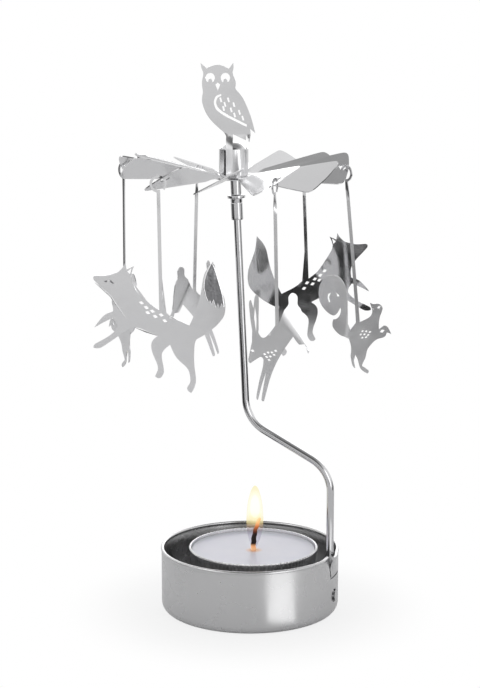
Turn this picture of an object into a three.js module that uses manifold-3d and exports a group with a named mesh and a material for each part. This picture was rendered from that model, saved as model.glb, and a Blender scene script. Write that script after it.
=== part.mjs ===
// Candle carousel: the warm air over a tealight turns a vaned rotor on a needle, and
// six sheet metal animals hang from the vanes. Millimetres, +Z up, the tray stands on z = 0
// and the wire stand rises from the tray's +X side.
import * as THREE from 'three';
import { mergeVertices } from 'three/addons/utils/BufferGeometryUtils.js';
import Module from 'manifold-3d';

const wasm = await Module();
wasm.setup();

// Clearances between pieces
const seatGap = 0.3; // between two pieces that rest on or against each other
const boreGap = 0.25; // round a wire or pin in its bore
const overrun = 2; // how far a cutter runs past what it cuts
const weldDistance = 1e-4;

// Tray: a drawn steel cup with a rolled lip
const trayRadius = 27;
const trayHeight = 19.5;
const traySheet = 0.35;
const trayCornerRadius = 2.6;
const lipHeight = 1.1;
const lipProud = 0.15;

// Where the tray holds the stand: a strap of the wall, slit free below and on its -Y side, is
// pressed out for the wire and the wall beside it pressed in. The foot goes through a hole below.
const strapWidth = 7.6;
const strapHeight = 6.6; // from the lip down to the slit
const strapSlitWidth = 0.5;
const strapBulgeDepth = 1.05; // at the lip, on the free side
const besideWidth = 6; // of the wall that is pressed in
const besideDepth = 0.8;
const footHoleWidth = 5.2;
const footHoleHeight = 4.6;
const footHoleCentre = 6.6;
const footHoleOffset = -1.2; // along Y, so that the hole shows the foot's side

// Stand: one bent wire
const wireRadius = 1.1;
const footBendRadius = 1.9;
const footTipProud = 0.25;
const footTipShare = 0.7; // of the wire's radius, at the rounded end
const standBendRadius = 11;
const lowerCornerHeight = 44.8;
const upperCornerHeight = 58.6;
const upperCornerOffset = -1.1; // along X from the tray's axis
const rotorOffset = -5.05; // the rotor's axis, along X from the tray's axis
const needleTipHeight = 141.4;

// Pivot: a crimped sleeve on the wire's end, and the needle in it
const socketRadius = 1.72;
const socketLength = 6.4;
const socketEnd = 0.6;
const crimpDepth = 0.15;
const crimpWidth = 0.5;
const collarRadius = 2.65;
const collarThickness = 0.9;
const neckRadius = 1.55;
const neckLength = 6.7;
const needleReach = 8.4; // from the sleeve's top to the needle's tip
const needleRadius = 0.6;
const needleSeat = 3.6;
const needleTaper = 3.4;
const needlePointRadius = 0.12;

// Bearing cap: the domed cup that rides on the needle and carries the rotor
const capRadius = 3.75;
const capSheet = 0.4;
const capHeight = 10.9;
const domeHeight = 3;
const domeSweep = 75; // degrees of its round, up to the flat top
const dimpleDepth = 0.15;
const dimpleRadius = 0.6;
const capFlangeRadius = 5.3;

// Rotor: one sheet, slit into vanes that are twisted at their roots
const rotorRadius = 33.9;
const rotorSheet = 0.3;
const rootRadius = 5.6; // where the slits end
const slitWidth = 0.5;
const vaneCount = 12;
const vanePitch = 28; // degrees, rising anticlockwise as seen from above
const vaneTwistRadius = 11; // full pitch from here outwards
const vaneLift = 2.2; // how far the tips stand above the root
// The vanes are bent by hand, so each one's lift is a share of its own, from the first hook on
const vaneLiftShares = [1.36, 0.64, 0.36, 0, -0.45, 0.73, 1.18, 1.82, 1, 1, 1, 1];
const vaneCornerRadius = 2.3;
const firstHook = 9.5; // degrees from +X to the first vane that carries a figure
const hookHoleRadius = 1.4;
const hookLand = 0.9; // metal left between the hole and the vane's edge

// Topper: owl, stem and clip band are one strip, the band rolled round the cap
const clipHeight = 7.7;
const clipSheet = 0.3;
const clipSeam = 0.6;
const stemWidth = 2;
const stemHeight = 4.3;
const stemLean = 1.5; // how far the owl stands nearer the axis than the band
const owlWidth = 20; // span that the owl's shares follow
const owlFacing = -73; // degrees from +X
const seamTurn = -32; // degrees from the owl's facing to the seam

// Hanging figures
const figureSheet = 0.3;
const ringRadius = 2.5;
const ringWidth = 0.7;
const stripWidth = 1;
const hookSwivel = -42; // degrees from the vane's own direction to the ring's plane
const ringGapAngle = 228; // degrees, where the open ring ends
const hookSlackShare = 0.25; // of the hole's radius, how far off its middle the ring passes
const crossingShare = 0.75; // of the ring's inner radius, how far above its centre the vane passes
const twistLength = 6;
const foxLength = 38;
const foxDrop = 36.1; // ring centre down to the foot of the strip
const hareLength = 18;
const hareDrop = 39.1;
const squirrelLength = 22;
const squirrelDrop = 44.2;
// Handling has kinked two of the strips, which lifts what hangs from them
const foxTakeUp = 2; // fox_back
const hareTakeUp = 2.2; // hare_back
const foldWidth = 1.6;
const outlineBowDepth = 0.11; // bends finer than this stay straight

// Tealight
const tealightRadius = 19.5;
const tealightHeight = 18.5;
const tealightSheet = 0.25;
const tealightLipRadius = 0.35;
const tealightLipSweep = [-60, 120]; // degrees of its round
const tealightDraft = 0.8;
const tealightCornerRadius = 1.2;
const tealightOffset = 1.1; // it stands a little off the tray's axis
const tealightBearing = 40; // degrees from +X
const waxBelowLip = 1.2;
const waxGap = 0.3;
const meniscusHeight = 0.4;
const wickRadius = 0.7;
const wickHeight = 9.4; // above the wax
const wickLean = 2;
const sustainerRadius = 6;
const sustainerSheet = 0.3;
const sustainerCollarRadius = 1.5;
const sustainerCollarHeight = 3;

// Fineness of the round forms, in counts
const roundSides = 44;
const smallSides = 16;
const capSides = 24;
const wireSides = 12;
const ringSides = 10;
const cupSides = 36;
const wickSides = 8;
const cornerSteps = 3;
const lipSteps = 4;
const rollSteps = 12;
const bendStep = 14; // degrees
// The wick's stations above the wax: shares of its height, its lean and its girth
const wickShares = [[0, 0, 1], [0.3, 0.05, 1.05], [0.6, 0.3, 0.85], [0.85, 0.75, 0.8], [1, 1, 0.6]];

const fullTurn = 2 * Math.PI;
const quarterTurn = Math.PI / 2;
const radians = (degrees) => THREE.MathUtils.degToRad(degrees);
const blend = (x, from, to) => THREE.MathUtils.smoothstep(x, from, to);

// Mesh helpers

// Positions only, welded, slivers dropped and every face turned outwards
function closed(geometry) {
  const bare = new THREE.BufferGeometry();
  bare.setAttribute('position', geometry.getAttribute('position').clone());
  if (geometry.index) bare.setIndex(geometry.index.clone());
  const welded = mergeVertices(bare, weldDistance);
  const position = welded.getAttribute('position');
  const kept = [];
  let volume = 0;
  const [a, b, c] = [new THREE.Vector3(), new THREE.Vector3(), new THREE.Vector3()];
  for (let i = 0; i < welded.index.count; i += 3) {
    const face = [0, 1, 2].map((k) => welded.index.getX(i + k));
    if (new Set(face).size < 3) continue;
    kept.push(...face);
    a.fromBufferAttribute(position, face[0]);
    b.fromBufferAttribute(position, face[1]);
    c.fromBufferAttribute(position, face[2]);
    volume += a.dot(b.cross(c));
  }
  if (volume < 0) kept.reverse();
  welded.setIndex(kept);
  return welded;
}

// Turns a profile of [radius, height] points about Z, at the given angles
function revolved(profile, angles) {
  const points = [];
  const faces = [];
  const loop = profile[0][0] > 0 || profile.at(-1)[0] > 0;
  for (const angle of angles) {
    for (const [r, z] of profile) points.push(r * Math.cos(angle), r * Math.sin(angle), z);
  }
  const rows = profile.length;
  const spans = loop ? rows : rows - 1;
  for (let s = 0; s < angles.length; s++) {
    const next = (s + 1) % angles.length;
    for (let i = 0; i < spans; i++) {
      const j = (i + 1) % rows;
      const [p, q, u, v] = [s * rows + i, s * rows + j, next * rows + j, next * rows + i];
      if (profile[j][0] > 0) faces.push(p, q, u);
      if (profile[i][0] > 0) faces.push(p, u, v);
    }
  }
  return closed(meshOf(points, faces));
}

function meshOf(points, faces) {
  const geometry = new THREE.BufferGeometry();
  geometry.setAttribute('position', new THREE.Float32BufferAttribute(points, 3));
  geometry.setIndex(faces);
  return geometry;
}

const evenAngles = (count) => Array.from({ length: count }, (_, i) => (i * fullTurn) / count);

// Points of an arc, from one angle to another in degrees, both ends kept
function arc(x, z, radius, from, to, steps) {
  return Array.from({ length: steps + 1 }, (_, i) => {
    const angle = radians(from + ((to - from) * i) / steps);
    return [x + radius * Math.cos(angle), z + radius * Math.sin(angle)];
  });
}

// A closed skin over rings of equally many points; each end is closed across its ring
function lofted(rings) {
  const faces = [];
  const count = rings[0].length;
  for (let s = 0; s + 1 < rings.length; s++) {
    for (let k = 0; k < count; k++) {
      const [p, q] = [s * count + k, s * count + ((k + 1) % count)];
      faces.push(p, q, q + count, p, q + count, p + count);
    }
  }
  const last = (rings.length - 1) * count;
  for (let k = 0; k + 1 < count / 2; k++) {
    const [a, b, c, d] = [k, k + 1, count - 2 - k, count - 1 - k];
    faces.push(a, c, b, a, d, c);
    faces.push(last + a, last + b, last + c, last + a, last + c, last + d);
  }
  return closed(meshOf(rings.flat(2), faces));
}

// A round wire along stations of position and heading in the XZ plane
function wire(stations, radius, sides) {
  return lofted(stations.map(({ x, z, dx, dz, share = 1 }) => evenAngles(sides).map((angle) => {
    const out = radius * share * Math.cos(angle);
    return [x - dz * out, radius * share * Math.sin(angle), z + dx * out];
  })));
}

// Stations of a wire through corners in the XZ plane, each inner corner rounded
function bentRoute(corners, radii, degreesPerStep) {
  const route = [];
  const heading = (a, b) => new THREE.Vector2(b[0] - a[0], b[1] - a[1]).normalize();
  const first = heading(corners[0], corners[1]);
  route.push({ x: corners[0][0], z: corners[0][1], dx: first.x, dz: first.y });
  for (let i = 1; i < corners.length - 1; i++) {
    const before = heading(corners[i - 1], corners[i]);
    const after = heading(corners[i], corners[i + 1]);
    const turn = Math.atan2(before.cross(after), before.dot(after));
    const setBack = radii[i - 1] * Math.tan(Math.abs(turn) / 2);
    const side = Math.sign(turn);
    const start = new THREE.Vector2(...corners[i]).addScaledVector(before, -setBack);
    const centre = start.clone().addScaledVector(new THREE.Vector2(-before.y, before.x), side * radii[i - 1]);
    const steps = Math.ceil(Math.abs(turn) / radians(degreesPerStep));
    for (let s = 0; s <= steps; s++) {
      const spin = (turn * s) / steps;
      const at = start.clone().rotateAround(centre, spin);
      const along = before.clone().rotateAround(new THREE.Vector2(), spin);
      route.push({ x: at.x, z: at.y, dx: along.x, dz: along.y });
    }
  }
  const last = heading(corners.at(-2), corners.at(-1));
  route.push({ x: corners.at(-1)[0], z: corners.at(-1)[1], dx: last.x, dz: last.y });
  return route;
}

// A flat sheet in the XZ plane, its thickness shared about y = 0
function sheet(outline, holes, thickness) {
  const shape = new THREE.Shape(outline.map(([x, z]) => new THREE.Vector2(x, z)));
  for (const hole of holes) shape.holes.push(new THREE.Path(hole.map(([x, z]) => new THREE.Vector2(x, z))));
  const plate = new THREE.ExtrudeGeometry(shape, { depth: thickness, bevelEnabled: false, steps: 1 });
  plate.translate(0, 0, -thickness / 2);
  plate.rotateX(quarterTurn);
  return closed(plate);
}

// Adds a line of edges where the plane through a point meets the mesh, so that it can bend there
function creased(geometry, point, normal, within = () => true) {
  const position = geometry.getAttribute('position');
  const plane = new THREE.Plane().setFromNormalAndCoplanarPoint(normal.clone().normalize(), point);
  const points = [];
  const put = (...corners) => corners.forEach((v) => points.push(v.x, v.y, v.z));
  for (let i = 0; i < geometry.index.count; i += 3) {
    const face = [0, 1, 2].map((k) => geometry.index.getX(i + k));
    const v = face.map((index) => new THREE.Vector3().fromBufferAttribute(position, index));
    const d = v.map((corner) => {
      const distance = plane.distanceToPoint(corner);
      return Math.abs(distance) < weldDistance ? 0 : distance;
    });
    const cut = (m, n) => v[m].clone().lerp(v[n], d[m] / (d[m] - d[n]));
    const lone = [0, 1, 2].find((k) => d[k] * d[(k + 1) % 3] < 0 && d[k] * d[(k + 2) % 3] < 0);
    const still = [0, 1, 2].find((k) => d[k] === 0 && d[(k + 1) % 3] * d[(k + 2) % 3] < 0);
    if (!within(v)) {
      put(...v);
    } else if (lone !== undefined) {
      const [m, n] = [(lone + 1) % 3, (lone + 2) % 3];
      const [p, q] = [cut(lone, m), cut(lone, n)];
      put(v[lone], p, q, p, v[m], v[n], p, v[n], q);
    } else if (still !== undefined) {
      const [m, n] = [(still + 1) % 3, (still + 2) % 3];
      const p = cut(m, n);
      put(v[still], v[m], p, v[still], p, v[n]);
    } else {
      put(...v);
    }
  }
  const cutUp = new THREE.BufferGeometry();
  cutUp.setAttribute('position', new THREE.Float32BufferAttribute(points, 3));
  return closed(cutUp);
}

// Moves every vertex by a rule
function warped(geometry, rule) {
  const position = geometry.getAttribute('position');
  const v = new THREE.Vector3();
  for (let i = 0; i < position.count; i++) {
    v.fromBufferAttribute(position, i);
    rule(v);
    position.setXYZ(i, v.x, v.y, v.z);
  }
  return geometry;
}

// Bends what a flat XZ sheet has beyond a line, over a short width, as on a folding bar
function folded(geometry, [from, to], degrees, free) {
  const along = new THREE.Vector3(to[0] - from[0], 0, to[1] - from[1]).normalize();
  const beyond = new THREE.Vector3(-along.z, 0, along.x);
  const start = new THREE.Vector3(from[0], 0, from[1]);
  const end = start.clone().addScaledVector(beyond, foldWidth);
  const bent = creased(creased(geometry, start, beyond), end, beyond);
  const radius = foldWidth / radians(degrees);
  return warped(bent, (v) => {
    const past = v.clone().sub(start).dot(beyond);
    if (past <= 0 || !free(v)) return;
    const turn = Math.min(past, foldWidth) / radius;
    const rest = Math.max(past - foldWidth, 0);
    const across = (radius - v.y) * Math.sin(turn) + rest * Math.cos(turn);
    const depth = radius - (radius - v.y) * Math.cos(turn) + rest * Math.sin(turn);
    v.addScaledVector(beyond, across - past);
    v.y = depth;
  });
}

// A curve through control points; a third value of 1 marks a sharp corner.
// A span gets a point in its middle where the curve leaves the straight line.
function smooth(controls) {
  const points = [];
  const count = controls.length;
  const slope = (i) => {
    const [before, here, after] = [controls[(i + count - 1) % count], controls[i], controls[(i + 1) % count]];
    if (here[2]) return null;
    return new THREE.Vector2(after[0] - before[0], after[1] - before[1]).multiplyScalar(0.5);
  };
  controls.forEach(([x, z], i) => {
    const next = controls[(i + 1) % count];
    points.push([x, z]);
    const chord = new THREE.Vector2(next[0] - x, next[1] - z);
    let [out, into] = [slope(i), slope((i + 1) % count)];
    if (!out && !into) return;
    const reach = chord.length();
    out = out ? out.clampLength(0, reach) : chord.clone().multiplyScalar(1.5).addScaledVector(into, -0.5);
    into = into ? into.clampLength(0, reach) : chord.clone().multiplyScalar(1.5).addScaledVector(out, -0.5);
    const bow = new THREE.Vector2().subVectors(out, into).multiplyScalar(1 / 8);
    const off = Math.abs(bow.cross(chord)) / reach;
    if (off > outlineBowDepth) points.push([x + chord.x / 2 + bow.x, z + chord.y / 2 + bow.y]);
  });
  return points;
}

// Area and first moment along x of a closed outline
function momentOf(outline) {
  let [area, moment] = [0, 0];
  outline.forEach(([x0, z0], i) => {
    const [x1, z1] = outline[(i + 1) % outline.length];
    const cross = x0 * z1 - x1 * z0;
    area += cross / 2;
    moment += ((x0 + x1) * cross) / 6;
  });
  return [Math.abs(area), moment * Math.sign(area)];
}

// Solid booleans
function solidOf(geometry) {
  const position = geometry.getAttribute('position');
  return new wasm.Manifold(new wasm.Mesh({
    numProp: 3,
    vertProperties: new Float32Array(position.array),
    triVerts: new Uint32Array(geometry.index.array),
  }));
}

function geometryOf(solid) {
  const mesh = solid.getMesh();
  return closed(meshOf(Array.from(mesh.vertProperties), Array.from(mesh.triVerts)));
}

const cutFrom = (geometry, ...cutters) => geometryOf(
  cutters.reduce((solid, cutter) => solid.subtract(solidOf(cutter)), solidOf(geometry)),
);

function plainBox(x0, x1, y0, y1, z0, z1) {
  const box = new THREE.BoxGeometry(x1 - x0, y1 - y0, z1 - z0);
  box.translate((x0 + x1) / 2, (y0 + y1) / 2, (z0 + z1) / 2);
  return closed(box);
}

// Materials and nodes
const carousel = new THREE.Group();
carousel.name = 'candle_carousel';

function addPiece(name, geometry, colour, roughness, metalness) {
  const material = new THREE.MeshStandardMaterial({ color: colour, roughness, metalness });
  const piece = new THREE.Mesh(geometry, material);
  piece.name = name;
  carousel.add(piece);
}
const brightSteel = [0xd2d4d6, 0.16, 1];
const tinnedSteel = [0xbcbec0, 0.3, 1];
const toolSteel = [0x8e9092, 0.25, 1];
const aluminium = [0xd9dadb, 0.35, 1];
const wax = [0xf1eff4, 0.55, 0];
const charredCotton = [0x2a2320, 0.95, 0];

// Tray
const wallOuter = trayRadius - lipProud;
const wallInner = wallOuter - traySheet;
const lipBottom = trayHeight - lipHeight;
const slitTop = trayHeight - strapHeight;
const slitBottom = slitTop - strapSlitWidth;
const cornerInner = trayCornerRadius - traySheet;
const trayProfile = [
  [0, 0],
  ...arc(wallOuter - trayCornerRadius, trayCornerRadius, trayCornerRadius, -90, 0, cornerSteps),
  [wallOuter, slitBottom - strapSlitWidth],
  [wallOuter, lipBottom - lipProud],
  [trayRadius, lipBottom],
  [trayRadius, trayHeight - lipProud],
  [wallOuter, trayHeight],
  [wallInner + lipProud, trayHeight],
  [wallInner, trayHeight - lipProud],
  [wallInner, slitBottom - strapSlitWidth],
  ...arc(wallInner - cornerInner, traySheet + cornerInner, cornerInner, 0, -90, cornerSteps),
  [0, traySheet],
];
// The wall is finer round the strap, which reaches from -1 to 1 of its half angle
const strapHalfAngle = strapWidth / 2 / trayRadius;
const besideAngle = besideWidth / trayRadius;
const strapShares = [-1, -0.75, -0.5, -0.25, 0, 0.25, 0.5, 0.75, 1];
const besideShares = [1, 0.75, 0.5, 0.25];
const trayAngles = [
  ...besideShares.map((share) => -strapHalfAngle - share * besideAngle),
  ...strapShares.map((share) => share * strapHalfAngle),
  ...evenAngles(roundSides).filter((a) => (
    a > strapHalfAngle + besideAngle / 2 && a < fullTurn - strapHalfAngle - besideAngle * 1.5
  )),
];
const [slitInside, slitOutside] = [wallInner - trayCornerRadius, trayRadius + overrun];
const [freeSide, heldSide] = [-strapWidth / 2, strapWidth / 2];
const slitBelow = plainBox(slitInside, slitOutside, freeSide - strapSlitWidth, heldSide, slitBottom, slitTop);
const slitBeside = plainBox(
  slitInside, slitOutside, freeSide - strapSlitWidth, freeSide, slitBottom, trayHeight + overrun,
);
const holeOutline = Array.from({ length: smallSides }, (_, i) => {
  const angle = (i * fullTurn) / smallSides;
  return [
    footHoleOffset + (footHoleWidth / 2) * Math.cos(angle),
    footHoleCentre + (footHoleHeight / 2) * Math.sin(angle),
  ];
});
const holeCutter = sheet(holeOutline, [], trayCornerRadius + overrun);
holeCutter.rotateZ(quarterTurn);
holeCutter.translate(wallOuter, 0, 0);
const slitTray = cutFrom(revolved(trayProfile, trayAngles), slitBelow, slitBeside, holeCutter);
const tray = warped(slitTray, (v) => {
  const angle = Math.atan2(v.y, v.x);
  const raised = (v.z - slitBottom) / (trayHeight - slitBottom);
  const cutAngle = -strapHalfAngle - strapSlitWidth / 2 / trayRadius;
  if (raised <= 0 || angle > strapHalfAngle || angle < cutAngle - besideAngle) return;
  const out = angle > cutAngle
    ? strapBulgeDepth * blend(strapHalfAngle - angle, 0, 2 * strapHalfAngle)
    : -besideDepth * blend(angle, cutAngle - besideAngle, cutAngle);
  v.x += out * raised * Math.cos(angle);
  v.y += out * raised * Math.sin(angle);
});
addPiece('candle_tray', tray, ...tinnedSteel);

// Stand: cranked foot in the hole, straight leg behind the strap, two bends, upper leg to the pivot
const legX = wallInner - seatGap - wireRadius;
const tipX = wallOuter + footTipProud;
const upperCorner = [upperCornerOffset, upperCornerHeight];
const needleTip = [rotorOffset, needleTipHeight];
const postRun = new THREE.Vector2(needleTip[0] - upperCorner[0], needleTip[1] - upperCorner[1]).normalize();
const alongPost = (below) => [needleTip[0] - postRun.x * below, needleTip[1] - postRun.y * below];
const sleeveTop = needleReach;
const collarTop = sleeveTop + neckLength;
const collarBottom = collarTop + collarThickness;
const socketBottom = collarBottom + socketLength;
const wireEnd = collarBottom + socketEnd + seatGap;
const standRoute = bentRoute(
  [
    [tipX, footHoleCentre],
    [legX, footHoleCentre],
    [legX, lowerCornerHeight],
    upperCorner,
    alongPost(wireEnd),
  ],
  [footBendRadius, standBendRadius, standBendRadius],
  bendStep,
);
standRoute[0].share = footTipShare;
standRoute.splice(1, 0, { ...standRoute[1], x: (standRoute[0].x + standRoute[1].x) / 2 });
addPiece('stand_rod', wire(standRoute, wireRadius, wireSides), ...brightSteel);

// Pivot sleeve and needle, turned about the post's own line
const onPost = (geometry) => {
  geometry.rotateY(Math.atan2(postRun.x, postRun.y));
  return geometry.translate(needleTip[0], 0, needleTip[1]);
};
const socketBore = wireRadius + boreGap;
const needleBore = needleRadius + boreGap;
const crimpTop = -collarBottom - socketEnd - crimpWidth;
const sleeveProfile = [
  [0, -collarBottom - socketEnd],
  [socketBore, -collarBottom - socketEnd],
  [socketBore, -socketBottom],
  [socketRadius, -socketBottom],
  [socketRadius, crimpTop - crimpWidth],
  [socketRadius - crimpDepth, crimpTop - crimpWidth / 2],
  [socketRadius, crimpTop],
  [socketRadius, -collarBottom],
  [collarRadius, -collarBottom],
  [collarRadius, -collarTop],
  [neckRadius, -collarTop],
  [neckRadius, -sleeveTop],
  [needleBore, -sleeveTop],
  [needleBore, -sleeveTop - needleSeat],
  [0, -sleeveTop - needleSeat],
];
addPiece('pivot_sleeve', onPost(revolved(sleeveProfile, evenAngles(smallSides))), ...brightSteel);
const needleProfile = [
  [0, -sleeveTop - needleSeat + seatGap],
  [needleRadius, -sleeveTop - needleSeat + seatGap],
  [needleRadius, -needleTaper],
  [needlePointRadius, 0],
  [0, 0],
];
addPiece('pivot_needle', onPost(revolved(needleProfile, evenAngles(wireSides))), ...toolSteel);

// Bearing cap
const onRotorAxis = (geometry) => geometry.translate(rotorOffset, 0, 0);
const domeTop = needleTipHeight + boreGap + capSheet - dimpleDepth;
const domeFoot = domeTop - domeHeight;
const capBottom = domeTop - capHeight;
const capInner = capRadius - capSheet;
const unitDome = arc(0, 0, 1, 0, domeSweep, cornerSteps + 1);
const dome = (radius, height) => unitDome.map(([x, z]) => [radius * x, domeFoot + height * z]);
const capProfile = [
  [0, domeTop],
  ...dome(capRadius, domeHeight).reverse(),
  [capRadius, capBottom + capSheet],
  [capFlangeRadius, capBottom + capSheet],
  [capFlangeRadius, capBottom],
  [capInner, capBottom],
  ...dome(capInner, domeHeight - capSheet),
  [dimpleRadius, domeTop - capSheet],
  [0, domeTop - capSheet + dimpleDepth],
];
addPiece('bearing_cap', onRotorAxis(revolved(capProfile, evenAngles(capSides))), ...brightSteel);

// Rotor: a washer whose rim is slit into vanes, each twisted from its root
const rotorBottom = capBottom + capSheet + seatGap;
const rotorMiddle = rotorBottom + rotorSheet / 2;
const rootInner = capRadius + seatGap;
const vaneStep = fullTurn / vaneCount;
const pitch = radians(vanePitch);
const hookHoleAt = rotorRadius - hookLand - hookHoleRadius;
const halfAngleAt = (radius) => vaneStep / 2 - slitWidth / 2 / radius;
const twistedAt = (radius) => pitch * blend(radius, rootRadius, vaneTwistRadius);
const liftedAt = (radius, k) => {
  const share = Math.max(radius - rootRadius, 0) / (rotorRadius - rootRadius);
  return share * vaneLift * vaneLiftShares[k % vaneLiftShares.length];
};
const ringOf = (x, z, radius, sides) => (
  evenAngles(sides).map((a) => [x + radius * Math.cos(a), z + radius * Math.sin(a)])
);
// Stations along a vane: shares of the twisted part, and of its rounded corner outwards and inwards
const twistShares = [0, 0.3, 0.6, 1];
const cornerShares = [[0, 0], [0.75, 0.2], [1, 1]];
const vaneStations = [
  [(rootInner + rootRadius) / 2, halfAngleAt(rootRadius)],
  ...twistShares.map((share) => {
    const radius = THREE.MathUtils.lerp(rootRadius, vaneTwistRadius, share);
    return [radius, halfAngleAt(radius)];
  }),
  ...cornerShares.map(([out, inwards]) => {
    const radius = rotorRadius - vaneCornerRadius * (1 - out);
    return [radius, halfAngleAt(radius) - (vaneCornerRadius / radius) * inwards];
  }),
];

function vane(k) {
  const outwards = new THREE.Vector3(1, 0, 0);
  const corner = ([radius, halfAngle], side, level) => {
    const x = radius * Math.cos(halfAngle * side);
    const flat = new THREE.Vector3(0, radius * Math.sin(halfAngle * side), (rotorSheet / 2) * level);
    const { y, z } = flat.applyAxisAngle(outwards, twistedAt(x));
    return [x, y, z + liftedAt(x, k)];
  };
  return lofted(vaneStations.map((station) => [
    ...[-1, 0, 1].map((side) => corner(station, side, 1)),
    ...[1, 0, -1].map((side) => corner(station, side, -1)),
  ]));
}
const washerSides = 2 * smallSides;
const washer = sheet(
  ringOf(0, 0, rootRadius, washerSides), [ringOf(0, 0, rootInner, washerSides)], rotorSheet,
);
let rotorSolid = solidOf(washer.rotateX(-quarterTurn));
const holePunch = sheet(ringOf(hookHoleAt, 0, hookHoleRadius, wireSides), [], 2 * (hookHoleRadius + overrun));
holePunch.rotateX(-quarterTurn);
for (let k = 0; k < vaneCount; k++) {
  const punch = holePunch.clone().translate(0, 0, liftedAt(hookHoleAt, k));
  const blade = k % 2 ? vane(k) : cutFrom(vane(k), punch);
  rotorSolid = rotorSolid.add(solidOf(blade.rotateZ(k * vaneStep)));
}
const rotor = geometryOf(rotorSolid);
rotor.rotateZ(radians(firstHook));
addPiece('rotor', onRotorAxis(rotor.translate(0, 0, rotorMiddle)), ...brightSteel);

// Owl topper: drawn flat with the seam at x = 0, then the band is rolled round the cap
const clipRadius = capRadius + seatGap + clipSheet / 2;
const clipBottom = rotorBottom + rotorSheet + seatGap;
const clipTop = clipBottom + clipHeight;
const clipLength = clipRadius * fullTurn - clipSeam;
const owlShares = [
  [0.245, -0.085, 1], [0.24, -0.01, 1], [0.32, -0.115, 1], [0.3, 0.08, 1], [0.375, 0.015, 1],
  [0.32, 0.23], [0.2, 0.52], [0.08, 0.66, 1], [0.09, 0.77], [0.04, 0.885, 1], [0.06, 0.96],
  [0.055, 1.035, 1], [-0.01, 0.95, 1], [-0.17, 1.01], [-0.33, 0.955, 1], [-0.42, 1.035, 1],
  [-0.405, 0.95], [-0.375, 0.885, 1], [-0.405, 0.75], [-0.385, 0.61, 1], [-0.4, 0.47],
  [-0.33, 0.28], [-0.2, 0.13],
];
const owlEyeShares = [[0, 1], [0.65, 0.76], [1, 0.05], [0.75, -0.7], [0.42, -0.9], [0.35, -0.35], [0, -0.15],
  [-0.35, -0.35], [-0.42, -0.9], [-0.75, -0.7], [-1, 0.05], [-0.65, 0.76]];
const owlEyesAtShares = [[-0.28, 0.82], [-0.06, 0.82]];
const owlEyeShare = 0.072;
const owlBeakShares = [[-0.17, 0.75], [-0.135, 0.72], [-0.17, 0.635], [-0.205, 0.72]];
const owlWingShares = [
  [-0.12, 0.585], [-0.2, 0.56], [-0.235, 0.465], [-0.2, 0.36], [-0.09, 0.275], [0.245, 0.11],
  [0.255, 0.14], [-0.07, 0.305], [-0.17, 0.385], [-0.2, 0.465], [-0.175, 0.535], [-0.12, 0.56],
];
const feathersAtShares = [
  [-0.13, 0.5], [-0.02, 0.5], [-0.07, 0.435], [0.06, 0.43], [-0.09, 0.375], [0.02, 0.355],
  [0.14, 0.32], [0.07, 0.28], [0.19, 0.235],
];
const featherShares = [[-0.018, 0.03], [0.006, 0.036], [0.024, -0.028], [0, -0.036]];
const scaled = (shares, size, [x, z] = [0, 0]) => (
  shares.map(([u, w, ...mark]) => [x + u * size, z + w * size, ...mark])
);
const stemTop = clipTop + stemHeight;
const owlFoot = [stemWidth / 2, stemTop];
const owlHoles = [
  ...owlEyesAtShares.map((place) => scaled(scaled(owlEyeShares, owlEyeShare, place), owlWidth, owlFoot)),
  scaled(owlBeakShares, owlWidth, owlFoot),
  scaled(owlWingShares, owlWidth, owlFoot),
  ...feathersAtShares.map((place) => scaled(scaled(featherShares, 1, place), owlWidth, owlFoot)),
];
const owlOutline = [
  [0, clipBottom],
  [clipLength, clipBottom],
  [clipLength, clipTop],
  [stemWidth, clipTop],
  ...smooth([[stemWidth, stemTop, 1], ...scaled(owlShares, owlWidth, owlFoot), [0, stemTop, 1]]),
  [0, clipTop],
];
const upwards = new THREE.Vector3(0, 0, 1);
const across = new THREE.Vector3(1, 0, 0);
const inBand = (corners) => corners.every((v) => v.z < clipTop + weldDistance);
let topper = sheet(owlOutline, owlHoles, clipSheet);
for (const height of [clipTop, clipTop + stemHeight / 2, stemTop]) {
  topper = creased(topper, new THREE.Vector3(0, 0, height), upwards);
}
for (let s = 0; s < rollSteps; s++) {
  const along = THREE.MathUtils.lerp(stemWidth, clipLength, s / rollSteps);
  topper = creased(topper, new THREE.Vector3(along, 0, 0), across, inBand);
}
const seamAngle = radians(seamTurn);
warped(topper, (v) => {
  const free = blend(v.z, clipTop, stemTop);
  const angle = seamAngle + v.x / clipRadius;
  const rolledRadius = clipRadius - v.y;
  const flatX = clipRadius * Math.sin(seamAngle) + v.x;
  const flatY = -clipRadius * Math.cos(seamAngle) + stemLean + v.y;
  const rolledX = rolledRadius * Math.sin(angle);
  const rolledY = -rolledRadius * Math.cos(angle);
  v.x = THREE.MathUtils.lerp(rolledX, flatX, free);
  v.y = THREE.MathUtils.lerp(rolledY, flatY, free);
});
topper.rotateZ(radians(owlFacing) + quarterTurn);
addPiece('owl_topper', onRotorAxis(topper), ...brightSteel);

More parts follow.
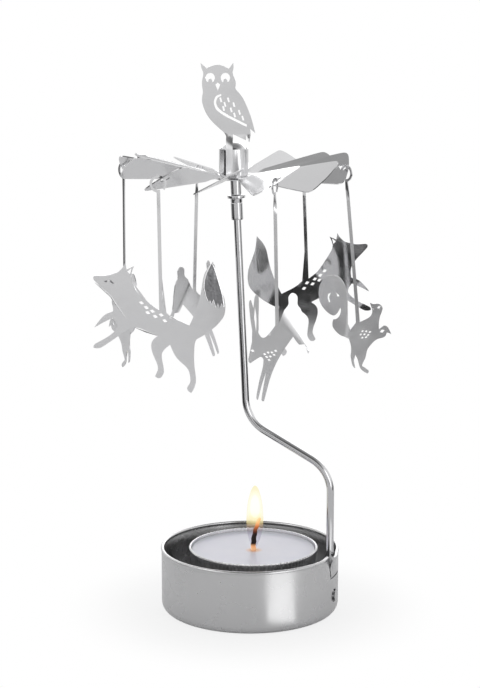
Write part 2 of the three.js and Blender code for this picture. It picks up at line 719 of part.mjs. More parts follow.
// Hanging figures: ring, strip and animal are one flat blank, folded and twisted
const foxShares = [
  [0.105, 0.075], [0.185, 0.195], [0.215, 0.26], [0.19, 0.34, 1], [0.245, 0.315, 1], [0.255, 0.365, 1],
  [0.305, 0.3], [0.415, 0.27], [0.49, 0.275], [0.495, 0.24], [0.405, 0.15], [0.36, 0.08], [0.36, 0, 1],
  [0.43, -0.03], [0.505, -0.12, 1], [0.43, -0.08], [0.365, -0.05, 1], [0.33, -0.125], [0.415, -0.2],
  [0.505, -0.245], [0.515, -0.275], [0.455, -0.275], [0.305, -0.175], [0.21, -0.11, 1],
  [0.03, -0.195, 1], [0.08, -0.245], [0.075, -0.325], [0.03, -0.44], [0.06, -0.505], [0.02, -0.52],
  [-0.01, -0.465], [0.01, -0.34], [-0.06, -0.265, 1], [-0.11, -0.375], [-0.19, -0.45], [-0.205, -0.56],
  [-0.175, -0.6], [-0.21, -0.64], [-0.25, -0.545], [-0.235, -0.41], [-0.245, -0.235, 1],
  [-0.36, -0.17], [-0.475, -0.055], [-0.475, 0.095], [-0.42, 0.23], [-0.4, 0.36, 1], [-0.325, 0.255],
  [-0.3, 0.105], [-0.25, -0.04], [-0.21, -0.12, 1], [-0.095, -0.065],
];
const hareShares = [
  [0.035, -0.035], [0.125, -0.15], [0.22, -0.22], [0.29, -0.145], [0.29, 0.11], [0.28, 0.41],
  [0.32, 0.475], [0.35, 0.43], [0.37, 0.26, 1], [0.405, 0.395], [0.44, 0.34], [0.42, 0.08],
  [0.375, -0.195], [0.41, -0.33], [0.46, -0.57], [0.425, -0.62], [0.27, -0.515], [0.215, -0.565],
  [0.23, -0.7], [0.29, -0.91], [0.34, -1.175], [0.31, -1.215], [0.25, -0.975], [0.18, -0.77, 1],
  [0.22, -0.99], [0.26, -1.215], [0.215, -1.235], [0.11, -0.835], [0.01, -0.6], [-0.115, -0.39],
  [-0.25, -0.2, 1], [-0.345, -0.33], [-0.43, -0.325], [-0.485, -0.475], [-0.515, -0.35],
  [-0.46, -0.235], [-0.43, 0.015], [-0.39, 0.225], [-0.325, 0.295], [-0.34, 0.42], [-0.26, 0.49],
  [-0.185, 0.42], [-0.195, 0.305], [-0.115, 0.22],
];
const squirrelShares = [
  [0.17, 0.07], [0.195, 0.16], [0.165, 0.26, 1], [0.215, 0.235], [0.28, 0.245], [0.34, 0.17],
  [0.29, 0.055], [0.275, -0.11], [0.345, -0.055], [0.405, -0.1], [0.44, -0.185, 1], [0.38, -0.16],
  [0.355, -0.22], [0.235, -0.245], [0.105, -0.385], [0.085, -0.49], [0.03, -0.6], [0.12, -0.665],
  [0.1, -0.71], [0, -0.63], [-0.025, -0.5], [-0.055, -0.445, 1], [-0.075, -0.53], [-0.06, -0.63],
  [-0.1, -0.585], [-0.12, -0.46], [-0.105, -0.39], [-0.13, -0.225], [-0.25, -0.17], [-0.345, -0.06],
  [-0.335, 0.045, 1], [-0.275, 0.06], [-0.23, 0.13], [-0.23, 0.205], [-0.27, 0.135], [-0.33, 0.095],
  [-0.43, 0.16], [-0.515, 0.3], [-0.51, 0.49], [-0.43, 0.615], [-0.32, 0.645], [-0.215, 0.6],
  [-0.15, 0.47], [-0.13, 0.24], [-0.14, -0.01], [-0.11, -0.105, 1], [-0.05, -0.03],
];
const spotShares = [[-0.55, -0.2], [-0.1, 0.36], [0.55, 0.2], [0.1, -0.36]];
const spots = (places, share) => places.map((place) => scaled(spotShares, share, place));
const foxCuts = [
  [[0.21, 0.325], [0.24, 0.3], [0.22, 0.28]],
  ...spots([[0.145, 0.06], [0.11, 0.025], [0.065, -0.005], [0.1, -0.015], [0, -0.035], [0.045, -0.045],
    [-0.025, -0.08]], 0.034),
];
const hareCuts = [
  ...spots([[0.39, -0.42]], 0.06),
  [[0.345, 0.28], [0.36, 0.1], [0.33, -0.12], [0.32, 0.1]],
  ...spots([[0.2, -0.475], [0.145, -0.45], [0.085, -0.45], [0.025, -0.425], [0.17, -0.52], [0.11, -0.515],
    [0.05, -0.49], [0.13, -0.57]], 0.048),
];
const squirrelCuts = [
  ...spots([[0.285, 0.19]], 0.045),
  ...spots([[0.32, -0.135]], 0.06),
  [[-0.385, 0.275], [-0.405, 0.345], [-0.38, 0.415], [-0.32, 0.445], [-0.26, 0.42], [-0.24, 0.355],
    [-0.262, 0.352], [-0.28, 0.4], [-0.32, 0.422], [-0.36, 0.395], [-0.383, 0.345], [-0.365, 0.285]],
  ...spots([[0.055, -0.125], [0.105, -0.13], [0.155, -0.14], [0.03, -0.17], [0.08, -0.17], [0.13, -0.18],
    [0.05, -0.215], [0.1, -0.21]], 0.035),
];
// A fold's line runs with the part that it turns on its left; the foxes stay flat
const species = {
  fox: { length: foxLength, drop: foxDrop, outline: foxShares, cuts: foxCuts },
  hare: {
    length: hareLength, drop: hareDrop, outline: hareShares, cuts: hareCuts,
    fold: [[-0.3, -0.26], [-0.06, 0.08]], degrees: -16,
  },
  squirrel: {
    length: squirrelLength, drop: squirrelDrop, outline: squirrelShares, cuts: squirrelCuts,
    fold: [[-0.13, -0.25], [-0.11, -0.105]], degrees: 12,
  },
};
const ringInner = ringRadius - ringWidth;
const ringMiddle = ringRadius - ringWidth / 2;

const toDegrees = (angle) => THREE.MathUtils.radToDeg(angle);

function hangingFigure({ length, drop, outline, cuts, fold, degrees }, twist, lean, cock, takeUp) {
  const cocked = (shares) => shares.map(([u, w, ...mark]) => {
    const turned = new THREE.Vector2(u, w).rotateAround(new THREE.Vector2(), radians(cock));
    return [turned.x, turned.y, ...mark];
  });
  const animal = smooth([
    [stripWidth / 2, 0, 1], ...scaled(cocked(outline), length), [-stripWidth / 2, 0, 1],
  ]);
  // The strip meets the animal where its weight hangs under the ring
  const [area, moment] = momentOf(animal);
  const stripArea = (drop - ringRadius) * stripWidth;
  const foot = [-moment / (area + stripArea / 2), takeUp - drop];
  const outerStart = toDegrees(Math.asin(stripWidth / 2 / ringRadius) - quarterTurn);
  const innerEnd = -toDegrees(Math.asin(stripWidth / 2 / ringInner) + quarterTurn);
  const blank = [
    ...arc(0, 0, ringRadius, outerStart, ringGapAngle, ringSides),
    ...arc(0, 0, ringInner, ringGapAngle, innerEnd, ringSides),
    ...animal.toReversed().map(([x, z]) => [x + foot[0], z + foot[1]]),
  ];
  const top = Math.max(...animal.map(([, z]) => z)) + foot[1];
  const free = (v) => v.x < foot[0] - stripWidth / 2 && v.z < top + stripWidth;
  let plate = sheet(blank, cuts.map((cut) => scaled(cocked(cut), length, foot)), figureSheet);
  if (fold) plate = folded(plate, scaled(cocked(fold), length, foot), degrees, free);
  const reach = (share) => ringRadius + twistLength * share;
  for (const share of twistShares) plate = creased(plate, new THREE.Vector3(0, 0, -reach(share)), upwards);
  plate.rotateY(-radians(lean));
  return warped(plate, (v) => v.applyAxisAngle(upwards, twist * blend(-v.z, reach(0), reach(1))));
}

const swivel = radians(hookSwivel);
// Where a ring's centre hangs from its vane: outwards, anticlockwise and down from the hole
const crossing = Math.sqrt(ringMiddle ** 2 - (ringInner * crossingShare) ** 2);
const ringOut = hookHoleAt + crossing * Math.cos(swivel) + hookHoleRadius * hookSlackShare;
const ringAcross = crossing * Math.sin(swivel);
const sheetAt = (k) => rotorMiddle + liftedAt(ringOut, k) + ringAcross * Math.tan(pitch);
const landHalf = (hookLand / 2 + hookHoleRadius * hookSlackShare) / Math.cos(swivel);
const ringDrop = Math.sqrt(ringInner ** 2 - landHalf ** 2) - rotorSheet - seatGap;
// Name and kind; in degrees where the nose points from +X, how far the whole piece leans nose up
// and how far the animal is cocked on its strip; and how much shorter its bent strip has become
const hangers = [
  ['squirrel_right', 'squirrel', 17, 2.6, 0, 0],
  ['fox_back', 'fox', 17, 1.6, 0, foxTakeUp],
  ['hare_back', 'hare', 44, -0.4, 7, hareTakeUp],
  ['squirrel_left', 'squirrel', 141, -2.3, 0, 0],
  ['fox_front', 'fox', 197, -1.4, 0, 0],
  ['hare_front', 'hare', 197, -0.6, 0, 0],
];
hangers.forEach(([name, kind, facing, lean, cock, takeUp], k) => {
  const hookTurn = radians(firstHook) + 2 * k * vaneStep;
  const nose = radians(facing);
  let ringTurn = hookTurn + swivel;
  while (Math.cos(nose - ringTurn) < 0) ringTurn += Math.PI;
  const twist = Math.atan2(Math.sin(nose - ringTurn), Math.cos(nose - ringTurn));
  const figure = hangingFigure(species[kind], twist, lean, cock, takeUp);
  figure.rotateZ(ringTurn);
  figure.translate(
    rotorOffset + ringOut * Math.cos(hookTurn) - ringAcross * Math.sin(hookTurn),
    ringOut * Math.sin(hookTurn) + ringAcross * Math.cos(hookTurn),
    sheetAt(2 * k) - ringDrop,
  );
  addPiece(name, figure, ...brightSteel);
});

// Tealight: aluminium cup, wax, wick and the sustainer that holds the wick's foot
const onTealight = (geometry) => geometry.translate(
  tealightOffset * Math.cos(radians(tealightBearing)),
  tealightOffset * Math.sin(radians(tealightBearing)),
  traySheet + seatGap,
);
const cupWall = tealightRadius - tealightLipRadius;
const cupFoot = cupWall - tealightDraft;
const cupLip = tealightHeight - tealightLipRadius;
const cupProfile = [
  [0, 0],
  ...arc(cupFoot - tealightCornerRadius, tealightCornerRadius, tealightCornerRadius, -90, 0, cornerSteps),
  [cupWall, cupLip - tealightLipRadius],
  ...arc(cupWall, cupLip, tealightLipRadius, ...tealightLipSweep, lipSteps),
  [cupWall - tealightSheet, cupLip - tealightLipRadius],
  ...arc(
    cupFoot - tealightCornerRadius,
    tealightCornerRadius,
    tealightCornerRadius - tealightSheet,
    0,
    -90,
    cornerSteps,
  ),
  [0, tealightSheet],
];
addPiece('tealight_cup', onTealight(revolved(cupProfile, evenAngles(cupSides))), ...aluminium);

const waxFoot = tealightSheet + waxGap;
const waxTop = tealightHeight - waxBelowLip;
const waxFootRadius = cupFoot - tealightSheet - waxGap;
const waxTopRadius = cupWall - tealightSheet - waxGap;
const wickBore = wickRadius + boreGap;
const sustainerTop = sustainerSheet + sustainerCollarHeight;
const waxProfile = [
  [wickBore, waxTop],
  [waxTopRadius - meniscusHeight, waxTop],
  [waxTopRadius, waxTop + meniscusHeight],
  [waxTopRadius, waxTop],
  [waxFootRadius, tealightCornerRadius + waxGap],
  [waxFootRadius - tealightCornerRadius, waxFoot],
  [sustainerRadius + waxGap, waxFoot],
  [sustainerRadius + waxGap, waxFoot + sustainerSheet + 2 * waxGap],
  [sustainerCollarRadius + waxGap, waxFoot + sustainerSheet + 2 * waxGap],
  [sustainerCollarRadius + waxGap, waxFoot + sustainerTop + waxGap],
  [wickBore, waxFoot + sustainerTop + waxGap],
];
addPiece('tealight_wax', onTealight(revolved(waxProfile, evenAngles(cupSides))), ...wax);

const sustainerBore = wickRadius + boreGap;
const sustainerProfile = [
  [sustainerBore, waxFoot],
  [sustainerRadius, waxFoot],
  [sustainerRadius, waxFoot + sustainerSheet],
  [sustainerCollarRadius, waxFoot + sustainerSheet],
  [sustainerCollarRadius, waxFoot + sustainerTop],
  [sustainerBore, waxFoot + sustainerTop],
];
addPiece('wick_sustainer', onTealight(revolved(sustainerProfile, evenAngles(smallSides))), ...tinnedSteel);

const wickFoot = waxFoot;
const wickStations = wickShares.map(([up, lean, girth]) => ({
  x: wickLean * lean, z: waxTop + wickHeight * up, dx: 0, dz: 1, share: girth,
}));
wickStations.unshift({ x: 0, z: wickFoot, dx: 0, dz: 1 });
addPiece('tealight_wick', onTealight(wire(wickStations, wickRadius, wickSides)), ...charredCotton);

export default carousel;
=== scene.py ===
# Candle carousel in its finishes: warm air over a tealight turns a vaned rotor on a needle,
# and six sheet metal animals hang from the vanes. Metres, +Z up, the tray stands on z = 0.
import math
import random

import bmesh
import bpy
from mathutils import Matrix, Vector


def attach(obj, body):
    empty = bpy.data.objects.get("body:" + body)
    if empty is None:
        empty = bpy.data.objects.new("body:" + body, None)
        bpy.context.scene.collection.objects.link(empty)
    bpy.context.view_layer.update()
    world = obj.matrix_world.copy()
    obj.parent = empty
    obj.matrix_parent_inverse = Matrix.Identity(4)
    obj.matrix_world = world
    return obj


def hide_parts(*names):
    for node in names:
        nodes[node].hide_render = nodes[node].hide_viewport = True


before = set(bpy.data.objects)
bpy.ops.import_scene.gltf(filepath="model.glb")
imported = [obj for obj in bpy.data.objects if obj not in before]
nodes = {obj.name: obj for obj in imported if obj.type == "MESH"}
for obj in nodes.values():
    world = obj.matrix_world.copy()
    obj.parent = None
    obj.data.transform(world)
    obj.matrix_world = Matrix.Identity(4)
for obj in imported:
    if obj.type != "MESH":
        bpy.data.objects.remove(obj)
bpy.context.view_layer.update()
bpy.ops.object.select_all(action="DESELECT")
mm = 0.001

# Camera: a long lens a little above the vanes, looking down on the tealight. It stands to
# the right of the tray's own front.
camera_side = math.radians(17)
camera_reach = 587.1 * mm
camera_height = 199.25 * mm
camera_drop = math.radians(11.31)
camera_swing = math.radians(0.295)
bpy.ops.object.camera_add(
    location=(
        camera_reach * math.sin(camera_side), -camera_reach * math.cos(camera_side), camera_height,
    ),
    rotation=(math.pi / 2 - camera_drop, 0, camera_side + camera_swing),
)
camera = bpy.context.object
camera.data.lens = 105.17
camera.data.clip_start = 0.01
bpy.context.scene.camera = camera
bpy.context.scene.view_settings.view_transform = "Standard"

# Floor: a round sheet of white paper. Near the tray it takes the soft shadow, and further
# out it fades into the white behind it.
floor_radius = 0.6
shade_reach, white_reach = 0.027, 0.06
white_share_near = 0.8
bpy.ops.mesh.primitive_circle_add(vertices=96, radius=floor_radius, fill_type="NGON")
floor = bpy.context.object
floor.name = "paper_floor"
paper = bpy.data.materials.new("white paper")
paper.use_nodes = True
tree = paper.node_tree
shader = tree.nodes["Principled BSDF"]
shader.inputs["Base Color"].default_value = (0.93, 0.93, 0.935, 1)
shader.inputs["Roughness"].default_value = 0.9
shader.inputs["Specular IOR Level"].default_value = 0.1
where = tree.nodes.new("ShaderNodeTexCoord")
distance = tree.nodes.new("ShaderNodeVectorMath")
distance.operation = "LENGTH"
tree.links.new(where.outputs["Object"], distance.inputs[0])
fade = tree.nodes.new("ShaderNodeMapRange")
fade.interpolation_type = "SMOOTHSTEP"
fade.inputs["From Min"].default_value = shade_reach
fade.inputs["From Max"].default_value = white_reach
fade.inputs["To Min"].default_value = white_share_near
tree.links.new(distance.outputs["Value"], fade.inputs["Value"])
rays = tree.nodes.new("ShaderNodeLightPath")
seen = tree.nodes.new("ShaderNodeMath")
seen.operation = "MULTIPLY"
tree.links.new(fade.outputs["Result"], seen.inputs[0])
tree.links.new(rays.outputs["Is Camera Ray"], seen.inputs[1])
white = tree.nodes.new("ShaderNodeEmission")
joined = tree.nodes.new("ShaderNodeMixShader")
tree.links.new(seen.outputs[0], joined.inputs["Fac"])
tree.links.new(shader.outputs[0], joined.inputs[1])
tree.links.new(white.outputs[0], joined.inputs[2])
tree.links.new(joined.outputs[0], tree.nodes["Material Output"].inputs["Surface"])
floor.data.materials.append(paper)

# Cards: sheets of black felt lie on the floor before the object and beside it, and two stand at
# its sides. A small white card that glows by itself lies just before the tray: painted light whose
# reflection brightens the tray's wall. Only bright metal sees them.
def beside_object(right, reach, height):
    return (
        right * math.cos(camera_side) + reach * math.sin(camera_side),
        right * math.sin(camera_side) - reach * math.cos(camera_side),
        height,
    )


def mirrored_only(card):
    card.visible_camera = False
    card.visible_shadow = False
    card.visible_diffuse = False


def dark_card(name, size, soft, density, place, standing=False, turn=0):
    bpy.ops.mesh.primitive_plane_add(size=1)
    card = bpy.context.object
    card.name = name
    bpy.ops.object.mode_set(mode="EDIT")
    bpy.ops.mesh.select_all(action="SELECT")
    bpy.ops.transform.resize(value=(*size, 1))
    bpy.ops.object.mode_set(mode="OBJECT")
    card.location = beside_object(*place)
    card.rotation_euler = (math.pi / 2 if standing else 0, 0, camera_side + math.radians(turn))
    felt = bpy.data.materials.new(name.replace("_", " "))
    felt.use_nodes = True
    tree = felt.node_tree
    shader = tree.nodes["Principled BSDF"]
    shader.inputs["Base Color"].default_value = (0.02, 0.02, 0.02, 1)
    shader.inputs["Roughness"].default_value = 1
    shader.inputs["Specular IOR Level"].default_value = 0
    where = tree.nodes.new("ShaderNodeTexCoord")
    inside = tree.nodes.new("ShaderNodeSeparateXYZ")
    tree.links.new(where.outputs["Object"], inside.inputs[0])
    dense = None
    for axis, length, soft_edge in zip("XY", size, soft):
        off = tree.nodes.new("ShaderNodeMath")
        off.operation = "ABSOLUTE"
        tree.links.new(inside.outputs[axis], off.inputs[0])
        edge = tree.nodes.new("ShaderNodeMapRange")
        edge.interpolation_type = "SMOOTHSTEP"
        edge.inputs["From Min"].default_value = length / 2
        edge.inputs["From Max"].default_value = length / 2 - soft_edge
        tree.links.new(off.outputs[0], edge.inputs["Value"])
        both = tree.nodes.new("ShaderNodeMath")
        both.operation = "MULTIPLY"
        both.inputs[1].default_value = density
        tree.links.new(edge.outputs["Result"], both.inputs[0])
        if dense:
            tree.links.new(dense, both.inputs[1])
        dense = both.outputs[0]
    clear = tree.nodes.new("ShaderNodeBsdfTransparent")
    joined = tree.nodes.new("ShaderNodeMixShader")
    tree.links.new(dense, joined.inputs["Fac"])
    tree.links.new(clear.outputs[0], joined.inputs[1])
    tree.links.new(shader.outputs[0], joined.inputs[2])
    tree.links.new(joined.outputs[0], tree.nodes["Material Output"].inputs["Surface"])
    card.data.materials.append(felt)
    mirrored_only(card)


dark_card("front_card", (0.153, 0.38), soft=(0.012, 0.05), density=0.97, place=(0.0745, 0.57, 0.0003))
dark_card("front_strip_card", (0.034, 0.4), soft=(0.006, 0.03), density=0.97, place=(0.042, 0.88, 0.0004))
dark_card("front_left_card", (0.22, 0.6), soft=(0.04, 0.08), density=0.7, place=(-0.22, 0.52, 0.0004))
dark_card("left_card", (0.65, 0.5), soft=(0.08, 0.08), density=0.95, place=(-0.425, 0.12, 0.0005))
dark_card("right_card", (0.58, 0.46), soft=(0.06, 0.08), density=0.95, place=(0.51, -0.05, 0.0005))
dark_card(
    "left_wall_card", (1.1, 0.28), soft=(0.1, 0.04), density=0.85, place=(-0.72, 0.05, -0.01),
    standing=True, turn=90,
)
dark_card(
    "right_wall_card", (0.5, 0.28), soft=(0.06, 0.04), density=0.8, place=(0.82, -0.2, -0.01),
    standing=True, turn=90,
)
white_far_edge, white_near_edge, white_depth = 0.067, 0.015, 0.08
white_turn = math.radians(40.4 - 180)
bpy.ops.mesh.primitive_plane_add(size=1)
white_card = bpy.context.object
white_card.name = "white_card"
for point in white_card.data.vertices:
    point.co.x *= white_far_edge if point.co.y > 0 else white_near_edge
    point.co.y *= white_depth
white_card.location = beside_object(0.0413, 0.0629, 0.0002)
white_card.rotation_euler = (0, 0, camera_side + white_turn)
# The white card glows by its own emission, a painted light seen only as a reflection in the metal.
glowing_card_finish = bpy.data.materials.new("glowing white card")
glowing_card_finish.use_nodes = True
shader = glowing_card_finish.node_tree.nodes["Principled BSDF"]
shader.inputs["Base Color"].default_value = (0.1, 0.1, 0.1, 1)
shader.inputs["Emission Color"].default_value = (1, 1, 1, 1)
shader.inputs["Emission Strength"].default_value = 1.12
white_card.data.materials.append(glowing_card_finish)
mirrored_only(white_card)

# Studio: a white room, dimmer below its horizon, overhead and above the camera. What the camera
# sees of it is plain white. One softbox stands at the right of the camera, one far to its left
# and one behind the object.
world = bpy.data.worlds.new("white studio")
bpy.context.scene.world = world
world.use_nodes = True
tree = world.node_tree
direction = tree.nodes.new("ShaderNodeTexCoord")
upright = tree.nodes.new("ShaderNodeSeparateXYZ")
tree.links.new(direction.outputs["Generated"], upright.inputs[0])
elevation = tree.nodes.new("ShaderNodeMath")
elevation.operation = "MULTIPLY_ADD"
elevation.inputs[1].default_value = 0.5
elevation.inputs[2].default_value = 0.5
tree.links.new(upright.outputs["Z"], elevation.inputs[0])
room_light = tree.nodes.new("ShaderNodeValToRGB")
steps = room_light.color_ramp.elements
steps[0].position, steps[0].color = 0.0, (0.6, 0.6, 0.6, 1)
steps[1].position, steps[1].color = 1.0, (0.3, 0.3, 0.31, 1)
for place, tone in ((0.47, 0.7), (0.5, 0.78), (0.56, 0.97), (0.76, 1.0), (0.86, 0.62), (0.93, 0.36)):
    steps.new(place).color = (tone, tone, tone, 1)
tree.links.new(elevation.outputs[0], room_light.inputs["Fac"])
toward = tree.nodes.new("ShaderNodeVectorMath")
toward.operation = "DOT_PRODUCT"
toward.inputs[1].default_value = beside_object(0, 0.78, 0.63)
tree.links.new(direction.outputs["Generated"], toward.inputs[0])
dim = tree.nodes.new("ShaderNodeMapRange")
dim.interpolation_type = "SMOOTHSTEP"
dim.inputs["From Min"].default_value = 0.8
dim.inputs["From Max"].default_value = 0.97
dim.inputs["To Min"].default_value = 1
dim.inputs["To Max"].default_value = 0.2
tree.links.new(toward.outputs["Value"], dim.inputs["Value"])
dimmed = tree.nodes.new("ShaderNodeMath")
dimmed.operation = "MULTIPLY"
tree.links.new(room_light.outputs["Color"], dimmed.inputs[0])
tree.links.new(dim.outputs["Result"], dimmed.inputs[1])
rays = tree.nodes.new("ShaderNodeLightPath")
room = tree.nodes.new("ShaderNodeMix")
room.data_type = "FLOAT"
room.inputs["B"].default_value = 1
tree.links.new(rays.outputs["Is Camera Ray"], room.inputs["Factor"])
tree.links.new(dimmed.outputs[0], room.inputs["A"])
background = tree.nodes["Background"]
tree.links.new(room.outputs["Result"], background.inputs["Color"])


def softbox(name, degrees, reach, height, target, size, radiance):
    side = camera_side + math.radians(degrees)
    place = Vector((reach * math.sin(side), -reach * math.cos(side), height))
    bpy.ops.object.light_add(type="AREA", location=place)
    lamp = bpy.context.object
    lamp.name = name
    lamp.rotation_euler = (Vector((0, 0, target)) - place).to_track_quat("-Z", "Y").to_euler()
    lamp.data.shape = "RECTANGLE"
    lamp.data.size, lamp.data.size_y = size
    lamp.data.energy = radiance * math.pi * size[0] * size[1]
    lamp.visible_camera = False


softbox("window_softbox", 37, reach=0.45, height=0.13, target=0.13, size=(0.17, 0.26), radiance=1.25)
softbox("left_softbox", -60, reach=0.9, height=0.7, target=0.08, size=(0.5, 0.4), radiance=1.6)
softbox("back_softbox", 170, reach=0.9, height=0.3, target=0.08, size=(0.8, 0.4), radiance=1.2)


# Tray: a drawn cup of tinned steel with a rounded lip, 54 mm across. It stands free. A strap of
# its wall is slit free and pressed out for the stand's wire, which also goes through a hole
# below the strap.
def worked_metal():
    group = bpy.data.node_groups.new("Worked metal", "ShaderNodeTree")
    face = group.interface
    given_values = {
        "Roughness": 0.2, "Waviness": 0.3, "Wave size": 60, "Grain": 0.3, "Smudges": 0.1, "Streaks": 0,
    }
    for label, value in given_values.items():
        socket = face.new_socket(label, in_out="INPUT", socket_type="NodeSocketFloat")
        socket.default_value = value
    shift = face.new_socket("Shift", in_out="INPUT", socket_type="NodeSocketVector")
    shift.default_value = (0, 0, 0)
    face.new_socket("Roughness", in_out="OUTPUT", socket_type="NodeSocketFloat")
    face.new_socket("Normal", in_out="OUTPUT", socket_type="NodeSocketVector")
    add, link = group.nodes.new, group.links.new
    given, result = add("NodeGroupInput"), add("NodeGroupOutput")
    where = add("ShaderNodeTexCoord")
    moved = add("ShaderNodeVectorMath")
    moved.operation = "ADD"
    link(where.outputs["Object"], moved.inputs[0])
    link(given.outputs["Shift"], moved.inputs[1])
    waves = add("ShaderNodeTexNoise")
    waves.inputs["Detail"].default_value = 1
    link(moved.outputs["Vector"], waves.inputs["Vector"])
    link(given.outputs["Wave size"], waves.inputs["Scale"])
    wavy = add("ShaderNodeBump")
    wavy.inputs["Distance"].default_value = 1 * mm
    link(given.outputs["Waviness"], wavy.inputs["Strength"])
    link(waves.outputs["Fac"], wavy.inputs["Height"])
    drawn = add("ShaderNodeMapping")
    drawn.inputs["Scale"].default_value = (1, 1, 0.04)
    link(moved.outputs["Vector"], drawn.inputs["Vector"])
    streaks = add("ShaderNodeTexNoise")
    streaks.inputs["Scale"].default_value = 900
    streaks.inputs["Detail"].default_value = 4
    link(drawn.outputs["Vector"], streaks.inputs["Vector"])
    streaky = add("ShaderNodeBump")
    streaky.inputs["Distance"].default_value = 0.03 * mm
    link(given.outputs["Streaks"], streaky.inputs["Strength"])
    link(streaks.outputs["Fac"], streaky.inputs["Height"])
    link(wavy.outputs["Normal"], streaky.inputs["Normal"])
    fine = add("ShaderNodeTexNoise")
    fine.inputs["Scale"].default_value = 2400
    fine.inputs["Detail"].default_value = 3
    link(moved.outputs["Vector"], fine.inputs["Vector"])
    grainy = add("ShaderNodeBump")
    grainy.inputs["Distance"].default_value = 0.01 * mm
    link(given.outputs["Grain"], grainy.inputs["Strength"])
    link(fine.outputs["Fac"], grainy.inputs["Height"])
    link(streaky.outputs["Normal"], grainy.inputs["Normal"])
    link(grainy.outputs["Normal"], result.inputs["Normal"])
    touched = add("ShaderNodeTexNoise")
    touched.inputs["Scale"].default_value = 140
    touched.inputs["Detail"].default_value = 2
    link(moved.outputs["Vector"], touched.inputs["Vector"])
    patchy = add("ShaderNodeMapRange")
    patchy.interpolation_type = "SMOOTHSTEP"
    patchy.inputs["From Min"].default_value = 0.35
    patchy.inputs["From Max"].default_value = 0.75
    link(touched.outputs["Fac"], patchy.inputs["Value"])
    duller = add("ShaderNodeMath")
    duller.operation = "MULTIPLY_ADD"
    link(patchy.outputs["Result"], duller.inputs[0])
    link(given.outputs["Smudges"], duller.inputs[1])
    link(given.outputs["Roughness"], duller.inputs[2])
    link(duller.outputs[0], result.inputs["Roughness"])
    return group


metal_group = worked_metal()


def metal(name, colour, shift=(0, 0, 0), **worked):
    material = bpy.data.materials.new(name)
    material.use_nodes = True
    tree = material.node_tree
    shader = tree.nodes["Principled BSDF"]
    shader.inputs["Base Color"].default_value = (*colour, 1)
    shader.inputs["Metallic"].default_value = 1
    surface = tree.nodes.new("ShaderNodeGroup")
    surface.node_tree = metal_group
    surface.inputs["Shift"].default_value = shift
    for label, value in worked.items():
        surface.inputs[label.replace("_", " ").capitalize()].default_value = value
    tree.links.new(surface.outputs["Roughness"], shader.inputs["Roughness"])
    tree.links.new(surface.outputs["Normal"], shader.inputs["Normal"])
    return material


def corner(x, z, radius, start, end, steps):
    angles = [math.radians(start + (end - start) * i / steps) for i in range(steps + 1)]
    return [(x + radius * math.cos(a), z + radius * math.sin(a)) for a in angles]


def linked(name, mesh):
    piece = bpy.data.objects.new(name, mesh)
    bpy.context.collection.objects.link(piece)
    return piece


def active(piece):
    bpy.ops.object.select_all(action="DESELECT")
    piece.select_set(True)
    bpy.context.view_layer.objects.active = piece


def faced_out(piece):
    active(piece)
    bpy.ops.object.mode_set(mode="EDIT")
    bpy.ops.mesh.select_all(action="SELECT")
    bpy.ops.mesh.normals_make_consistent(inside=False)
    bpy.ops.object.mode_set(mode="OBJECT")


def turned(name, profile, steps, place=(0, 0, 0), tilt=0):
    mesh = bpy.data.meshes.new(name)
    last = len(profile) - 1
    ends = [(step, step + 1) for step in range(last)]
    if profile[0][0] > 0:
        ends.append((last, 0))
    mesh.from_pydata([(r * mm, 0, z * mm) for r, z in profile], ends, [])
    piece = linked(name, mesh)
    active(piece)
    bpy.ops.object.mode_set(mode="EDIT")
    bpy.ops.mesh.select_all(action="SELECT")
    bpy.ops.mesh.spin(steps=steps, angle=2 * math.pi, center=(0, 0, 0), axis=(0, 0, 1))
    bpy.ops.mesh.select_all(action="SELECT")
    bpy.ops.mesh.remove_doubles(threshold=0.001 * mm)
    bpy.ops.object.mode_set(mode="OBJECT")
    faced_out(piece)
    mesh.transform(Matrix.Translation(Vector(place) * mm) @ Matrix.Rotation(tilt, 4, "Y"))
    return piece


def thicken(piece, along):
    active(piece)
    bpy.ops.object.mode_set(mode="EDIT")
    bpy.ops.mesh.select_all(action="SELECT")
    bpy.ops.mesh.extrude_region_move(TRANSFORM_OT_translate={"value": along})
    bpy.ops.object.mode_set(mode="OBJECT")
    faced_out(piece)


def prism(name, outline, start, end):
    mesh = bpy.data.meshes.new(name)
    points = [(start * mm, y * mm, z * mm) for y, z in outline]
    mesh.from_pydata(points, [], [list(range(len(points)))])
    piece = linked(name, mesh)
    thicken(piece, ((end - start) * mm, 0, 0))
    return piece


def cut_away(piece, cutter):
    active(piece)
    cut = piece.modifiers.new("cut", "BOOLEAN")
    cut.operation = "DIFFERENCE"
    cut.solver = "EXACT"
    cut.object = cutter
    bpy.ops.object.modifier_apply(modifier=cut.name)
    bpy.data.objects.remove(cutter)


def eased(share):
    return share * share * (3 - 2 * share)


def smoothed(piece, degrees, edge_width=0):
    active(piece)
    if edge_width:
        bevel = piece.modifiers.new("soft edges", "BEVEL")
        bevel.width = edge_width
        bevel.segments = 2
        bevel.limit_method = "ANGLE"
        bevel.angle_limit = math.radians(degrees)
        bpy.ops.object.modifier_apply(modifier=bevel.name)
    bpy.ops.object.shade_smooth_by_angle(angle=math.radians(degrees))
    flat = piece.modifiers.new("flat faces stay flat", "WEIGHTED_NORMAL")
    flat.keep_sharp = True
    flat.weight = 100
    bpy.ops.object.modifier_apply(modifier=flat.name)


def stands_for(piece, node, body, material):
    piece.data.materials.clear()
    piece.data.materials.append(material)
    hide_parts(node)
    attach(piece, body)


